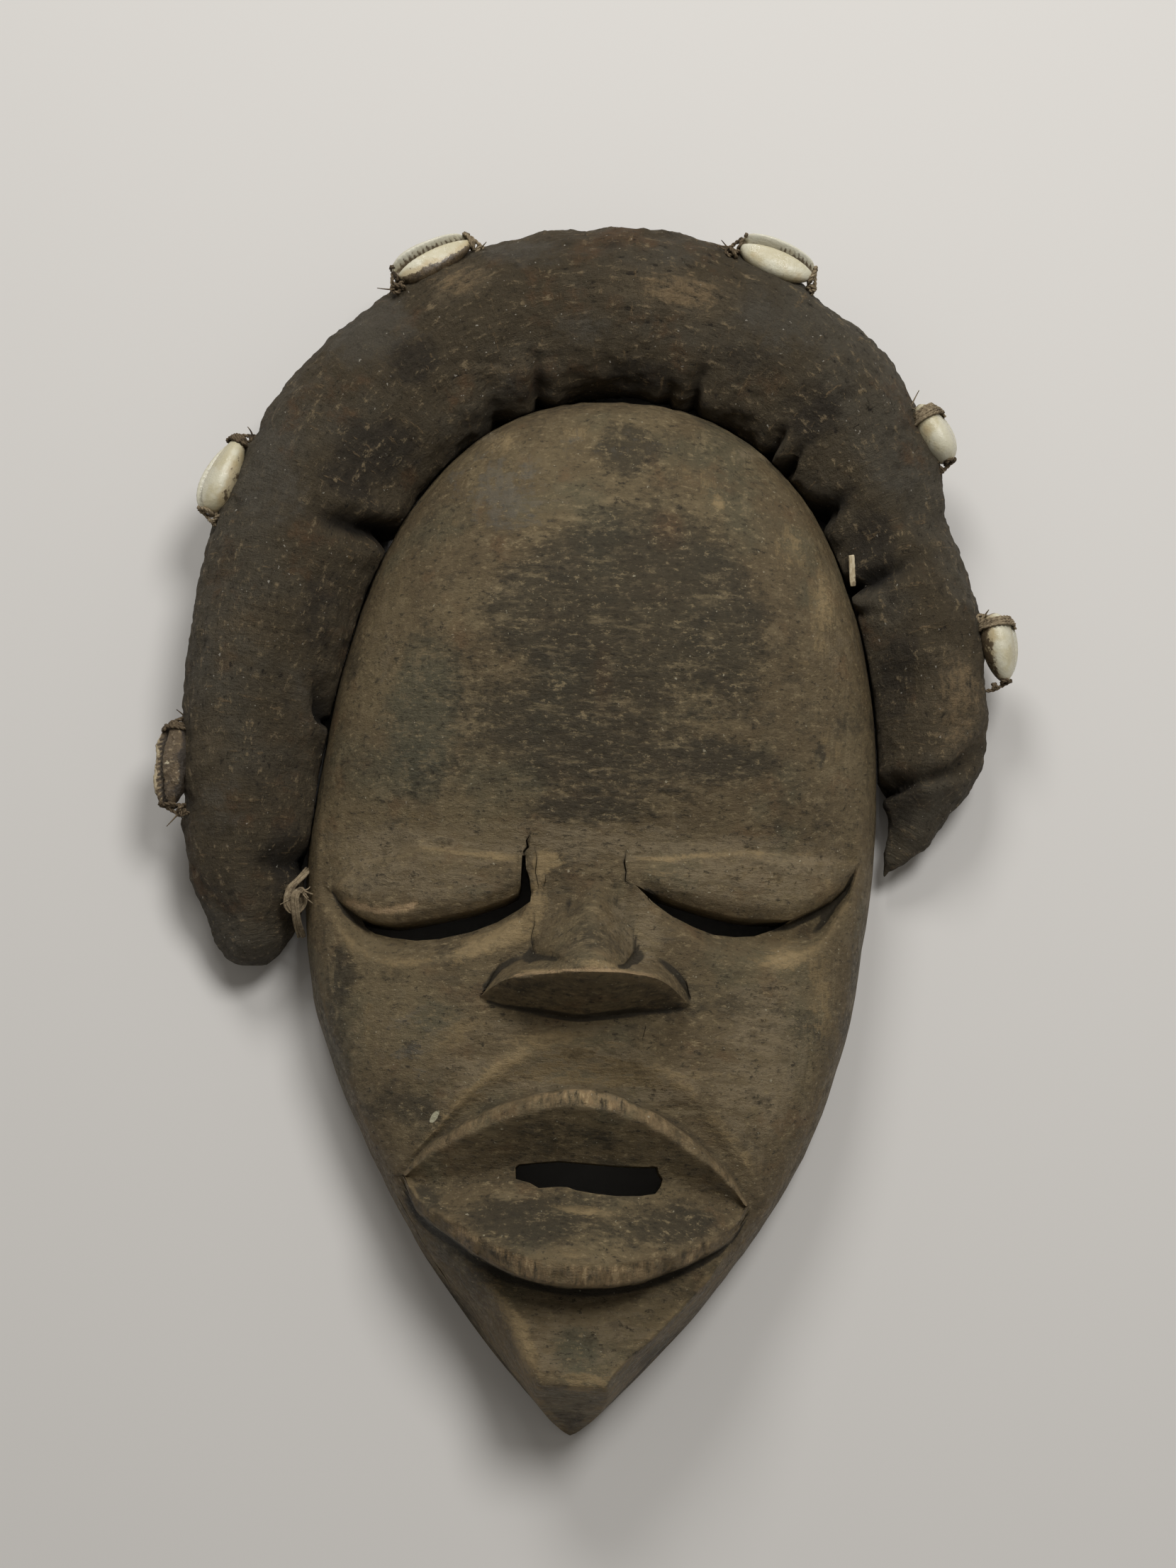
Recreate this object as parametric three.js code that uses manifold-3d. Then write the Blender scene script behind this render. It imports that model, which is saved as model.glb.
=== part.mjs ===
// A carved wooden face mask with a stuffed cloth roll round the forehead and cowrie shells
// sewn to the roll. It lies on its flat back rim. Millimetres, +Z up.
// While it is carved, X = 0 is the face's axis, Y = 0 the chin's tip and Z = 0 the back rim.

import * as THREE from "three";
import { mergeVertices } from "three/addons/utils/BufferGeometryUtils.js";
import Module from "manifold-3d";

const wasm = await Module();
wasm.setup();

// Driving dimensions of the wooden face
const FACE_LENGTH = 284;
const HALF_WIDTH = 77.5;
const WIDEST_Y = 150;
const CHIN_POWER = 0.86;
const DOME_POWER = 2.35;
const SIDE_WALL = 24;
const CHIN_EDGE = { y: 15, z: 44, soft: 2.5 };
const CHIN_FACET = { left: 1.9, right: 1.4, from: 30, to: 64 };
const WALL = { side: 8, chinY: 22, crownY: 276, floor: -5 };
const BROW = { drop: 1.7, between: 0.5, above: 11, below: 3.4, power: 1.6 };
const SOCKET = { depth: 7, slope: 8, before: 1.5, shut: 0.5, open: 8 };
const SOCKET_END = { share: 0.25, from: -73, to: -60 };
const LID = { raise: 0.6, round: 3, roundReach: 4, roundPower: 1.6, roundOpen: 4, wall: 0.7 };
const LID_END = { x: -20.4, round: 1, reach: 1.8, slotX: -19 };
const LEAF = { drop: 1.3, soft: 1.4 };
const LIP = { height: 58, corner: 36, crestLow: 4.6, crestUp: 3.4, bevelLow: 4, bevelUp: 3, step: 1.1 };
const LIP_HOLLOW = { above: 1.4, low: 0.7, below: 1.5, belowReach: 3 };
const ARCH_RIDGE = { height: 0.9, above: 5.5, below: 4.5 };
const MOUTH = { left: -46.7, right: 42.8, middle: -2, half: 44.8, floor: 42, floorEnd: 35 };
const NOSE = { tip: 72.5, tipY: 121, ridgeX: -0.8, ridgeTop: 143, ridgeTopZ: 48.7, left: -29, right: 25 };
const NOSE_BODY = { fall: 0.78, firm: 2, tipSoft: 1.15, topSoft: 2.3 };
const WING = { rise: 0.5, scoop: 1.2, scoopTo: 0.6, from: 5, to: 11 };
const SLOT_CUT = { from: -15, depth: 110 };
const GAP = 0.35;

// How finely the wood is drawn
const OUTSIDE_GRID = { columns: 40, gather: 1.22, rowGap: 0.45 };
const HOLLOW_GRID = { columns: 16, gather: 1.5, rows: 18 };

// Driving dimensions of the roll and of what is tied to it
const ROLL_FLATNESS = 0.9;
const ROLL_SIDES = 13;
const ROLL_STEPS = 40;
const SHELL = { wide: 13.5, thick: 9.5, sink: 2.2, taper: 0.14, slotWide: 1.8, slotDeep: 2.2, slotLong: 0.8 };
const KNOT = { radius: 2.3, long: 1.25, flat: 0.9, clear: 0.1, lift: 2.6 };
const LASHING = { radius: 2.6, length: 11, lean: 0.12, x: -80.5, y: 139.5, z: 24.5 };
const PIN = { radius: 0.9, length: 8.5, lean: 0.2, dip: 0.3, x: 65, y: 235.4, z: 27.2 };

const clamp = THREE.MathUtils.clamp;
const lerp = THREE.MathUtils.lerp;
const smooth = (low, high, t) => THREE.MathUtils.smoothstep(t, low, high);

// The lower of two heights, rounded where they cross
function softMin(a, b, soft) {
  return Math.min(a, b) - (soft / 4) * Math.max(0, 1 - Math.abs(a - b) / soft) ** 2;
}

// A smooth function through hand-set points, level with its end points beyond them
function through(points) {
  const slope = points.map((p, i) => {
    const before = points[Math.max(i - 1, 0)];
    const after = points[Math.min(i + 1, points.length - 1)];
    return (after[1] - before[1]) / (after[0] - before[0]);
  });
  const last = points.length - 1;
  return (t) => {
    if (t <= points[0][0]) return points[0][1];
    if (t >= points[last][0]) return points[last][1];
    const i = points.findIndex((p) => p[0] > t) - 1;
    const span = points[i + 1][0] - points[i][0];
    const s = (t - points[i][0]) / span;
    const rise = points[i + 1][1] - points[i][1];
    const a = slope[i] * span - rise;
    const b = rise - slope[i + 1] * span;
    return points[i][1] + rise * s + s * (1 - s) * (a * (1 - s) + b * s);
  };
}

// The face's outline: a chin that curves up to the temples, then an egg-shaped crown
function halfWidth(y, half = HALF_WIDTH, bottom = 0, top = FACE_LENGTH) {
  if (y < WIDEST_Y) {
    const s = Math.pow(clamp((y - bottom) / (WIDEST_Y - bottom), 0, 1), CHIN_POWER);
    return half * Math.sin((Math.PI / 2) * s);
  }
  const v = clamp((y - WIDEST_Y) / (top - WIDEST_Y), 0, 1);
  return half * Math.pow(1 - Math.pow(v, DOME_POWER), 1 / DOME_POWER);
}
const axisX = (y) => -3.1 * Math.exp(-(((y - 130) / 45) ** 2));

// How far a point is from the axis towards the outline, 0 to 1
function spread(x, y, half = HALF_WIDTH, bottom = 0, top = FACE_LENGTH) {
  const off = Math.abs(x - axisX(y));
  if (y < WIDEST_Y) return clamp(off / Math.max(halfWidth(y, half, bottom, top), 1e-6), 0, 1);
  const a = Math.pow(off / half, DOME_POWER);
  const b = Math.pow((y - WIDEST_Y) / (top - WIDEST_Y), DOME_POWER);
  return clamp(Math.pow(a + b, 1 / DOME_POWER), 0, 1);
}

// The bare head under the features
const crown = through([
  [0, 44], [15, 44], [26, 41.5], [38, 39.5], [48, 41], [62, 42], [80, 44], [100, 46.5], [120, 47],
  [138, 47.5], [150, 50], [180, 58], [215, 66], [284, 66],
]);
const chinLeft = through([[15, 0.46], [30, 0.46], [40, 0.57], [60, 0.6]]);
const chinRight = through([[15, 0.47], [18.7, 0.49], [22.3, 0.56], [26, 0.66], [31.9, 0.74], [43.2, 0.84]]);
function headHeight(x, y) {
  const r = spread(x, y);
  const wall = Math.min(SIDE_WALL, crown(y)) * Math.sqrt(1 - Math.pow(r, 28));
  const dome = (crown(y) - SIDE_WALL) * Math.pow(1 - Math.pow(r, 2.3), 0.6);
  const onLeft = x < axisX(y);
  const edge = onLeft ? chinLeft(y) : chinRight(y);
  const past = Math.max(0, (r - edge) / (1 - edge));
  const facet = crown(y) * (1 - Math.pow(past, onLeft ? CHIN_FACET.left : CHIN_FACET.right));
  const chin = 1 - smooth(CHIN_FACET.from, CHIN_FACET.to, y);
  return softMin(lerp(wall + dome, facet, chin), (CHIN_EDGE.z / CHIN_EDGE.y) * y, CHIN_EDGE.soft);
}

// Brow, ledge and lid edge, each a line from left to right. Ledge and lid edge run together where
// there is no socket. The leaf line closes the left lid towards the temple.
const brow = through([
  [-76, 150.6], [-60, 151.4], [-46, 151.2], [-20, 149.6], [0, 149.8], [35, 154], [67, 157],
  [76, 157],
]);
const ledge = through([
  [-77, 140], [-74.3, 137], [-71.9, 133], [-69.2, 130.6], [-65.9, 126.9], [-62.3, 124.1], [-57.8, 121.8],
  [-51.2, 120.6], [-44.8, 121.6], [-36.2, 122.8], [-27.7, 126.3], [-22, 131], [-19.4, 133.7],
  [-17.3, 137.6], [-15.5, 140], [-4, 140.5], [5, 142], [9.6, 142.7], [12, 139.9], [15, 136.7],
  [19, 133.6], [23.4, 131.3], [29.6, 128], [39.2, 125.8], [44.4, 125.3], [54.6, 128.2], [59.6, 132.1],
  [64.6, 140.2], [66.8, 144.5], [68.6, 151.5],
]);
const lidEdge = through([
  [-77, 141.5], [-72.5, 140.8], [-70.8, 139.6], [-68.1, 136.8], [-65, 134.5], [-61.4, 132.4],
  [-57.4, 131.1], [-52.2, 130.4], [-47.9, 131], [-38.9, 132.9], [-32.5, 134.5], [-24, 137.6],
  [-20, 139.2], [-15.5, 140.1], [-4, 140.6], [5, 142.1], [9.6, 142.9], [14.6, 140.9], [20.4, 139.3],
  [28.2, 137.5], [36, 136.3], [41.2, 136.2], [50.5, 137.2], [54, 139], [59.1, 141.9], [64.2, 145.9],
  [66.7, 149], [68.6, 151.7],
]);
const leafTop = through([
  [-72, 138], [-70.8, 139.8], [-68.6, 142.1], [-65.7, 145], [-62.4, 147], [-57.3, 148.4],
  [-52.6, 149.8], [-47, 154],
]);
const EYES = [{ from: -75, to: -17.6, soft: 2 }, { from: 6.2, to: 69, soft: 2.5 }];
const within = (x, span) => smooth(0, span.soft, x - span.from) * smooth(0, span.soft, span.to - x);
const eyeShare = (x) => EYES.reduce((sum, eye) => sum + within(x, eye), 0);

function lidHeight(x, y, z, depth, open) {
  const edge = 1 - clamp((y - lidEdge(x)) / LID.roundReach, 0, 1);
  const end = x < LID_END.slotX ? 1 - clamp((LID_END.x - x) / LID_END.reach, 0, 1) : 0;
  const edgeRound = LID.round * smooth(0, LID.roundOpen, open) * edge ** LID.roundPower;
  const rounded = edgeRound + LID_END.round * end ** 2;
  const beside = z - Math.min(LEAF.drop, depth);
  return lerp(beside, z + LID.raise * eyeShare(x) - rounded, smooth(0, LEAF.soft, leafTop(x) - y));
}

function withEyes(x, y, z) {
  const under = brow(x) - y;
  const browOff = Math.abs(under) / (under < 0 ? BROW.above : BROW.below);
  const dip = lerp(BROW.between, BROW.drop, eyeShare(x)) * Math.exp(-(browOff ** BROW.power));
  if (under < 0) return z - dip;
  const open = lidEdge(x) - ledge(x);
  const outer = lerp(SOCKET_END.share, 1, smooth(SOCKET_END.from, SOCKET_END.to, x));
  const depth = SOCKET.depth * smooth(SOCKET.shut, SOCKET.open, open) * outer;
  const floor = z - depth * smooth(-SOCKET.before, SOCKET.slope - SOCKET.before, y - ledge(x));
  const above = smooth(-LID.wall, 0, y - lidEdge(x));
  return lerp(floor, lidHeight(x, y, z, depth, open), above) - dip;
}

// The nose: a rounded body, a hollowed wing each side and a lens-shaped underside
const noseEdge = through([
  [-29, 112.3], [-25.4, 114.8], [-19.8, 116.2], [-13.4, 116.7], [-6.7, 117], [1.2, 117.3],
  [6.6, 117.6], [14.8, 117.5], [18.4, 116.6], [21.2, 115.1], [25, 112.6],
]);
const noseBase = through([
  [-29, 111.7], [-23.2, 109.9], [-12.3, 108.6], [-3.6, 107.6], [2.8, 108.5], [9.2, 109.7],
  [17.8, 110.6], [25, 112.1],
]);
const noseRim = through([
  [-29, 46], [-25, 53], [-19.8, 60.5], [-13, 66], [-6.5, 70.5], [0, NOSE.tip], [6.5, 70.5],
  [11, 67], [15, 63], [19, 57.5], [25, 46],
]);
const wingTop = through([
  [-29, 112.6], [-27.7, 114.9], [-25.8, 118.7], [-23.8, 121.8], [-19.6, 124.2], [-15.3, 124.6],
  [-10.5, 123.4], [-7.5, 121], [-5.5, 119.4], [-3, 119.9], [1.4, 121], [5, 120], [7.2, 120.6],
  [8.6, 123], [10, 125.6], [14.8, 126.3], [19.3, 124.1], [22.9, 120.8], [24.6, 116.8], [25, 113],
]);
const noseLeft = through([[118, 17], [126, 16], [130, 14.2], [134, 11], [138, 6.8], [142, 4]]);
const noseRight = through([[118, 13], [128, 11.5], [133, 10], [136.5, 8], [140, 5], [142, 4]]);

function noseBody(x, y, z) {
  const up = clamp((y - NOSE.tipY) / (NOSE.ridgeTop - NOSE.tipY), 0, 1);
  const ridge = lerp(NOSE.tip, NOSE.ridgeTopZ, Math.pow(up, NOSE_BODY.fall));
  const half = x < NOSE.ridgeX ? noseLeft(y) : noseRight(y);
  const off = clamp(Math.abs(x - NOSE.ridgeX) / half, 0, 1);
  const soft = lerp(NOSE_BODY.tipSoft, NOSE_BODY.topSoft, up);
  return z + Math.max(0, ridge - z) * (1 - off ** NOSE_BODY.firm) ** soft;
}

function withNose(x, y, z) {
  if (x < NOSE.left || x > NOSE.right || y < noseBase(x) || y > NOSE.ridgeTop) return z;
  if (y < noseEdge(x)) {
    const t = (y - noseBase(x)) / Math.max(noseEdge(x) - noseBase(x), 0.2);
    return Math.max(z, lerp(z, noseRim(x), t));
  }
  const lobe = clamp((wingTop(x) - y) / Math.max(wingTop(x) - noseEdge(x), 0.3), 0, 1);
  const body = noseBody(x, Math.max(y, wingTop(x)), z);
  const wing = smooth(WING.from, WING.to, Math.abs(x - NOSE.ridgeX));
  const scoop = wing * WING.scoop * Math.sin(Math.PI * clamp(lobe / WING.scoopTo, 0, 1));
  return lerp(body, Math.max(body, noseRim(x)), lobe ** (1 + WING.rise * wing)) - scoop;
}

// The mouth: a raised lens of lips round a funnel that falls to the slot
const lipLow = through([
  [-46.7, 65.6], [-44.6, 60.6], [-42.1, 56.8], [-31, 49.6], [-22.9, 45], [-13.7, 41.6],
  [-4.7, 40.2], [4.8, 40.2], [14.3, 41.9], [23.9, 45.4], [33.6, 50.3], [40.1, 55.6], [42.8, 62],
]);
const lipUp = through([
  [-46.7, 65.9], [-41.5, 72.2], [-36.4, 75.9], [-25, 82.7], [-16.1, 86.2], [-7.2, 88.5],
  [1.1, 88.8], [8.8, 87.2], [18.7, 83.2], [25.4, 79.2], [32.3, 74.3], [38.6, 68.5], [42.8, 62.3],
]);
const slotLine = through([
  [-46.7, 65.7], [-40, 64], [-26.9, 66.2], [-17.6, 68.3], [20.4, 67], [29.8, 65.2], [39, 63],
  [42.8, 62.2],
]);
const arch = through([
  [-56, 62], [-45.6, 70.6], [-39.4, 77], [-33.2, 84.9], [-27, 91], [-19.4, 96.5], [-11.7, 99.3],
  [-2, 100.6], [5.2, 100.2], [11.8, 98.7], [21.9, 93.4], [30.8, 86.2], [39.2, 76.4], [46.3, 67.8],
  [54, 60],
]);
const mouthSpan = (x) => clamp(Math.abs(x - MOUTH.middle) / MOUTH.half, 0, 1);
const lipRim = (x) => LIP.height - (LIP.height - LIP.corner) * Math.pow(mouthSpan(x), 1.9);
const mouthFloor = (x) => MOUTH.floor - (MOUTH.floor - MOUTH.floorEnd) * Math.pow(mouthSpan(x), 2);
const lipTaper = (x) => Math.sqrt(1 - Math.pow(mouthSpan(x), 2));
const crestLow = (x) => lipLow(x) + LIP.crestLow * lipTaper(x) + 0.2;
const crestUp = (x) => lipUp(x) - LIP.crestUp * lipTaper(x) - 0.2;

function withMouth(x, y, z) {
  const aboveArch = y - arch(x);
  const reach = aboveArch > 0 ? ARCH_RIDGE.above : ARCH_RIDGE.below;
  const ridge = ARCH_RIDGE.height * Math.exp(-((aboveArch / reach) ** 2)) * smooth(58, 40, Math.abs(x));
  const lipDepth = clamp((y - lipUp(x)) / Math.max(arch(x) - lipUp(x), 0.5), 0, 1) ** LIP_HOLLOW.low;
  const valley = y > lipUp(x) ? LIP_HOLLOW.above * Math.sin(Math.PI * lipDepth) * lipTaper(x) : 0;
  let face = z + (y > lipUp(x) ? ridge - valley : 0);
  const belowLip = (lipLow(x) - LIP_HOLLOW.below - y) / LIP_HOLLOW.belowReach;
  if (y < lipLow(x)) face -= LIP_HOLLOW.below * Math.exp(-(belowLip ** 2)) * lipTaper(x);
  if (x <= MOUTH.left || x >= MOUTH.right) return face;
  const rim = lipRim(x);
  let lips = rim;
  if (y < crestLow(x)) {
    lips = rim - LIP.bevelLow * lipTaper(x) * clamp((crestLow(x) - y) / (crestLow(x) - lipLow(x)), 0, 1);
  } else if (y > crestUp(x)) {
    lips = rim - LIP.bevelUp * lipTaper(x) * clamp((y - crestUp(x)) / (lipUp(x) - crestUp(x)), 0, 1);
  } else {
    const edge = y < slotLine(x) ? crestLow(x) : crestUp(x);
    const t = clamp((y - slotLine(x)) / (edge - slotLine(x)), 0, 1);
    lips = lerp(mouthFloor(x), rim, Math.pow(t, 1.15));
  }
  const inside = smooth(-LIP.step, 0, Math.min(y - lipLow(x), lipUp(x) - y));
  return lerp(face, lips, inside);
}

const faceHeight = (x, y) => withMouth(x, y, withNose(x, y, withEyes(x, y, headHeight(x, y))));

// The hollow behind the face
const hollowCrown = through([
  [22, 24], [60, 29], [100, 31], [135, 32], [150, 35], [180, 43], [215, 51], [284, 52],
]);
function hollowHeight(x, y) {
  const r = spread(x, y, HALF_WIDTH - WALL.side, WALL.chinY, WALL.crownY);
  return WALL.floor + (hollowCrown(y) - WALL.floor) * Math.pow(1 - Math.pow(r, 2.8), 0.42);
}

// Rows that follow the carved lines, so that each edge is one clean crease in the mesh
const FEATURE_ROWS = [
  { line: () => 0, steps: 2 },
  { line: () => CHIN_EDGE.y, steps: 4 },
  { line: (x) => lipLow(x) - 5.5, steps: 1 },
  { line: (x) => lipLow(x) - LIP.step - 0.1, steps: 1 },
  { line: (x) => lipLow(x), steps: 1 },
  { line: (x) => crestLow(x), steps: 3 },
  { line: (x) => slotLine(x), steps: 3, anchor: true },
  { line: (x) => crestUp(x) + 0.1, steps: 1 },
  { line: (x) => lipUp(x) + 0.15, steps: 1 },
  { line: (x) => lipUp(x) + LIP.step + 0.3, steps: 2 },
  { line: (x) => Math.max(arch(x), lipUp(x) + LIP.step + 1), steps: 2 },
  { line: (x) => Math.max(noseBase(x), arch(x) + 2), steps: 2 },
  { line: (x) => Math.max(noseEdge(x), noseBase(x) + 0.4), steps: 3 },
  { line: (x) => Math.max(wingTop(x) + 0.3, noseEdge(x) + 2), steps: 1 },
  { line: (x) => Math.max(ledge(x), wingTop(x) + 2), steps: 2 },
  { line: (x) => Math.max(lidEdge(x) - 0.8, ledge(x) + 2), steps: 1 },
  { line: (x) => Math.max(lidEdge(x) + 0.1, ledge(x) + 2.8), steps: 1 },
  { line: (x) => Math.min(Math.max(lidEdge(x) + 2.5, ledge(x) + 4), brow(x) - 3.5), steps: 1 },
  { line: (x) => brow(x) - 3, steps: 1 },
  { line: (x) => brow(x), steps: 13, crownward: true },
  { line: () => FACE_LENGTH, steps: 0 },
];

function pointOnLine(line, u) {
  let y = line(0);
  for (let i = 0; i < 14; i++) {
    const next = line(axisX(y) + u * halfWidth(y));
    y = lerp(y, next, 0.7);
  }
  return y;
}

function columnPositions(count, gather) {
  return Array.from({ length: count + 1 }, (_, j) => {
    const t = (2 * j) / count - 1;
    return Math.sign(t) * (1 - Math.pow(1 - Math.abs(t), gather));
  });
}

// A solid under a height function: rows of points from chin to crown, closed by a flat underside
function domeSolid(rows, floor) {
  const first = rows[0][0];
  const last = rows[rows.length - 1][0];
  const body = rows.slice(1, -1);
  const width = body[0].length;
  const points = [first, ...body.flat(), last];
  const at = (i, j) => 1 + i * width + j;
  const end = points.length - 1;
  const faces = [];
  for (let j = 0; j < width - 1; j++) {
    faces.push([0, at(0, j + 1), at(0, j)]);
    faces.push([end, at(body.length - 1, j), at(body.length - 1, j + 1)]);
    for (let i = 0; i < body.length - 1; i++) {
      faces.push([at(i, j), at(i, j + 1), at(i + 1, j + 1)]);
      faces.push([at(i, j), at(i + 1, j + 1), at(i + 1, j)]);
    }
  }
  const r = width - 1;
  faces.push([0, at(0, 0), at(0, r)], [end, at(body.length - 1, r), at(body.length - 1, 0)]);
  for (let i = 0; i < body.length - 1; i++) {
    faces.push([at(i, 0), at(i + 1, 0), at(i + 1, r)], [at(i, 0), at(i + 1, r), at(i, r)]);
  }
  return solidFrom(points.map((p) => [p[0], p[1], Math.max(p[2], floor)]).flat(), faces.flat());
}

function solidFrom(vertices, faces) {
  const vertProperties = Float32Array.from(vertices);
  return new wasm.Manifold(new wasm.Mesh({ numProp: 3, vertProperties, triVerts: Uint32Array.from(faces) }));
}

// Where each carved line crosses one column, pushed apart where lines run together
function rowPlaces(u) {
  const places = FEATURE_ROWS.map((row) => pointOnLine(row.line, u));
  const anchor = FEATURE_ROWS.findIndex((row) => row.anchor);
  const gap = OUTSIDE_GRID.rowGap;
  for (let k = anchor - 1; k > 0; k--) places[k] = Math.min(places[k], places[k + 1] - gap);
  for (let k = anchor + 1; k < places.length - 1; k++) places[k] = Math.max(places[k], places[k - 1] + gap);
  return places;
}

function outerRows(grow = 0) {
  const columns = columnPositions(OUTSIDE_GRID.columns, OUTSIDE_GRID.gather);
  const places = columns.map(rowPlaces);
  const rows = [];
  FEATURE_ROWS.forEach((row, k) => {
    for (let s = 0; s < row.steps; s++) {
      const t = row.crownward ? Math.sin((Math.PI / 2) * (s / row.steps)) : s / row.steps;
      rows.push(columns.map((u, j) => wallPoint(u, lerp(places[j][k], places[j][k + 1], t), grow)));
    }
  });
  rows.push(columns.map((u) => wallPoint(u, FACE_LENGTH, grow)));
  return rows;
}

function wallPoint(u, y, grow) {
  const x = axisX(y) + u * halfWidth(y);
  const z = Math.abs(u) === 1 ? 0 : faceHeight(x, y);
  return [x * (1 + grow / HALF_WIDTH), y + (grow * (y - WIDEST_Y)) / WIDEST_Y, z > 0 ? z + grow : z];
}

function hollowRows() {
  const columns = columnPositions(HOLLOW_GRID.columns, HOLLOW_GRID.gather);
  return Array.from({ length: HOLLOW_GRID.rows + 1 }, (_, i) => {
    const y = lerp(WALL.chinY, WALL.crownY, (1 - Math.cos((Math.PI * i) / HOLLOW_GRID.rows)) / 2);
    return columns.map((u) => {
      const x = axisX(y) + u * halfWidth(y, HALF_WIDTH - WALL.side, WALL.chinY, WALL.crownY);
      return [x, y, Math.abs(u) === 1 ? WALL.floor : hollowHeight(x, y)];
    });
  });
}

// The cut openings, as seen from the front
const MOUTH_SLOT = [
  [-17.5, 66.2], [-17.7, 69.1], [-16.9, 69.9], [-12.5, 70.6], [-6.6, 71.3], [0, 71.1], [8.3, 70.8],
  [15, 70.9], [18.7, 71.1], [19.2, 69.5], [20.3, 68.1], [19.9, 66.2], [18.6, 64.2], [14.6, 63.4],
  [8.7, 63.1], [4.2, 63.3], [-1.8, 64], [-4, 64.7], [-6.3, 64.7], [-11.4, 64.1], [-13.7, 65.3],
];
const LEFT_SLIT = [
  [-62, 132], [-60.8, 130.1], [-58.3, 128.5], [-53.8, 127.5], [-47, 126.8], [-41, 127.4],
  [-32.4, 129.6], [-26, 132.3], [-17.5, 137.3], [-17.4, 139.5], [-18, 143.4], [-19.1, 146],
  [-19.4, 149.3], [-20.3, 149.3], [-20.3, 141.5], [-21, 139.5], [-24, 137.7], [-32.5, 134.6],
  [-38.9, 133], [-47.9, 131.1], [-52.2, 130.5], [-57.4, 131],
];
const RIGHT_SLIT = [
  [9.6, 142.8], [14.4, 138.8], [19.2, 136], [24.5, 133.8], [30.8, 132], [36.5, 131.9], [41.7, 132.6],
  [46.8, 134.7], [51, 137.1], [41.2, 136.3], [36, 136.4], [28.2, 137.6], [20.4, 139.4], [14.6, 141],
];

function slotCutter(outline) {
  const shape = new THREE.Shape(outline.map((p) => new THREE.Vector2(p[0], p[1])));
  const geometry = new THREE.ExtrudeGeometry(shape, { depth: SLOT_CUT.depth, bevelEnabled: false });
  geometry.translate(0, 0, SLOT_CUT.from);
  return solidOf(geometry);
}

function solidOf(geometry) {
  const bare = geometry.clone();
  bare.deleteAttribute("normal");
  bare.deleteAttribute("uv");
  const merged = mergeVertices(bare, 1e-4);
  return solidFrom(merged.attributes.position.array, merged.index.array);
}

function geometryOf(solid) {
  const mesh = solid.getMesh();
  const geometry = new THREE.BufferGeometry();
  geometry.setAttribute("position", new THREE.BufferAttribute(mesh.vertProperties, 3));
  geometry.setIndex(new THREE.BufferAttribute(mesh.triVerts, 1));
  geometry.computeVertexNormals();
  return geometry;
}

function maskSolid() {
  const outside = domeSolid(outerRows(), 0);
  const hollow = domeSolid(hollowRows(), WALL.floor);
  const shell = outside.subtract(hollow);
  return [MOUTH_SLOT, LEFT_SLIT, RIGHT_SLIT].reduce((solid, slot) => solid.subtract(slotCutter(slot)), shell);
}

// The roll's middle line from the left cheek to the right temple: x, y, radius
const ROLL_STATIONS = [
  [-88.2, 119.5, 3.5], [-90.8, 125.5, 10], [-92.5, 133, 14], [-94.8, 148, 17.8], [-95.4, 169, 20],
  [-94.5, 191, 22], [-91, 213, 23.6], [-86, 237, 24.4], [-75.8, 262, 24.6], [-57.6, 285, 24.4],
  [-31.5, 300.6, 24.8], [0, 306.4, 24.6], [30, 300.6, 24.2], [54, 285.4, 22.8], [68.4, 266, 20],
  [76.6, 247, 17.6], [84, 222, 18.2], [88.2, 200, 17.2], [87.6, 181, 14.6], [85.5, 168.5, 9],
  [80.5, 160, 4.5], [76.6, 152, 2.2],
];
const rollPath = new THREE.CatmullRomCurve3(
  ROLL_STATIONS.map(([x, y, r]) => new THREE.Vector3(x, y, ROLL_FLATNESS * r + Math.max(0, 9 - 0.6 * r))),
);
const rollRadius = (t) => {
  const at = t * (ROLL_STATIONS.length - 1);
  const i = Math.min(Math.floor(at), ROLL_STATIONS.length - 2);
  const s = smooth(0, 1, at - i);
  return lerp(ROLL_STATIONS[i][2], ROLL_STATIONS[i + 1][2], s);
};

// Place, outward direction and direction along the roll at a share of its stations
function rollFrame(t) {
  const centre = rollPath.getPoint(t);
  const along = rollPath.getTangent(t).setZ(0).normalize();
  const out = new THREE.Vector3(-along.y, along.x, 0);
  return { centre, along, out, radius: rollRadius(t) };
}

function rollSolid() {
  const rings = Array.from({ length: ROLL_STEPS + 1 }, (_, i) => {
    const frame = rollFrame(i / ROLL_STEPS);
    return Array.from({ length: ROLL_SIDES }, (_, j) => {
      const a = (2 * Math.PI * j) / ROLL_SIDES;
      const side = frame.out.clone().multiplyScalar(frame.radius * Math.cos(a));
      const point = frame.centre.clone().add(side);
      point.z = Math.max(0, point.z + ROLL_FLATNESS * frame.radius * Math.sin(a));
      return point;
    });
  });
  return loft(rings);
}

// A closed skin over a row of rings, with a flat fan at each end
function loft(rings) {
  const sides = rings[0].length;
  const middle = (ring) => ring.reduce((sum, p) => sum.add(p), new THREE.Vector3()).divideScalar(sides);
  const points = [...rings.flat(), middle(rings[0]), middle(rings[rings.length - 1])];
  const faces = [];
  const at = (i, j) => i * sides + (j % sides);
  for (let j = 0; j < sides; j++) {
    for (let i = 0; i < rings.length - 1; i++) {
      faces.push(at(i, j), at(i, j + 1), at(i + 1, j + 1), at(i, j), at(i + 1, j + 1), at(i + 1, j));
    }
    faces.push(points.length - 2, at(0, j + 1), at(0, j));
    faces.push(points.length - 1, at(rings.length - 1, j), at(rings.length - 1, j + 1));
  }
  return solidFrom(points.flatMap((p) => [p.x, p.y, p.z]), faces);
}

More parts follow.
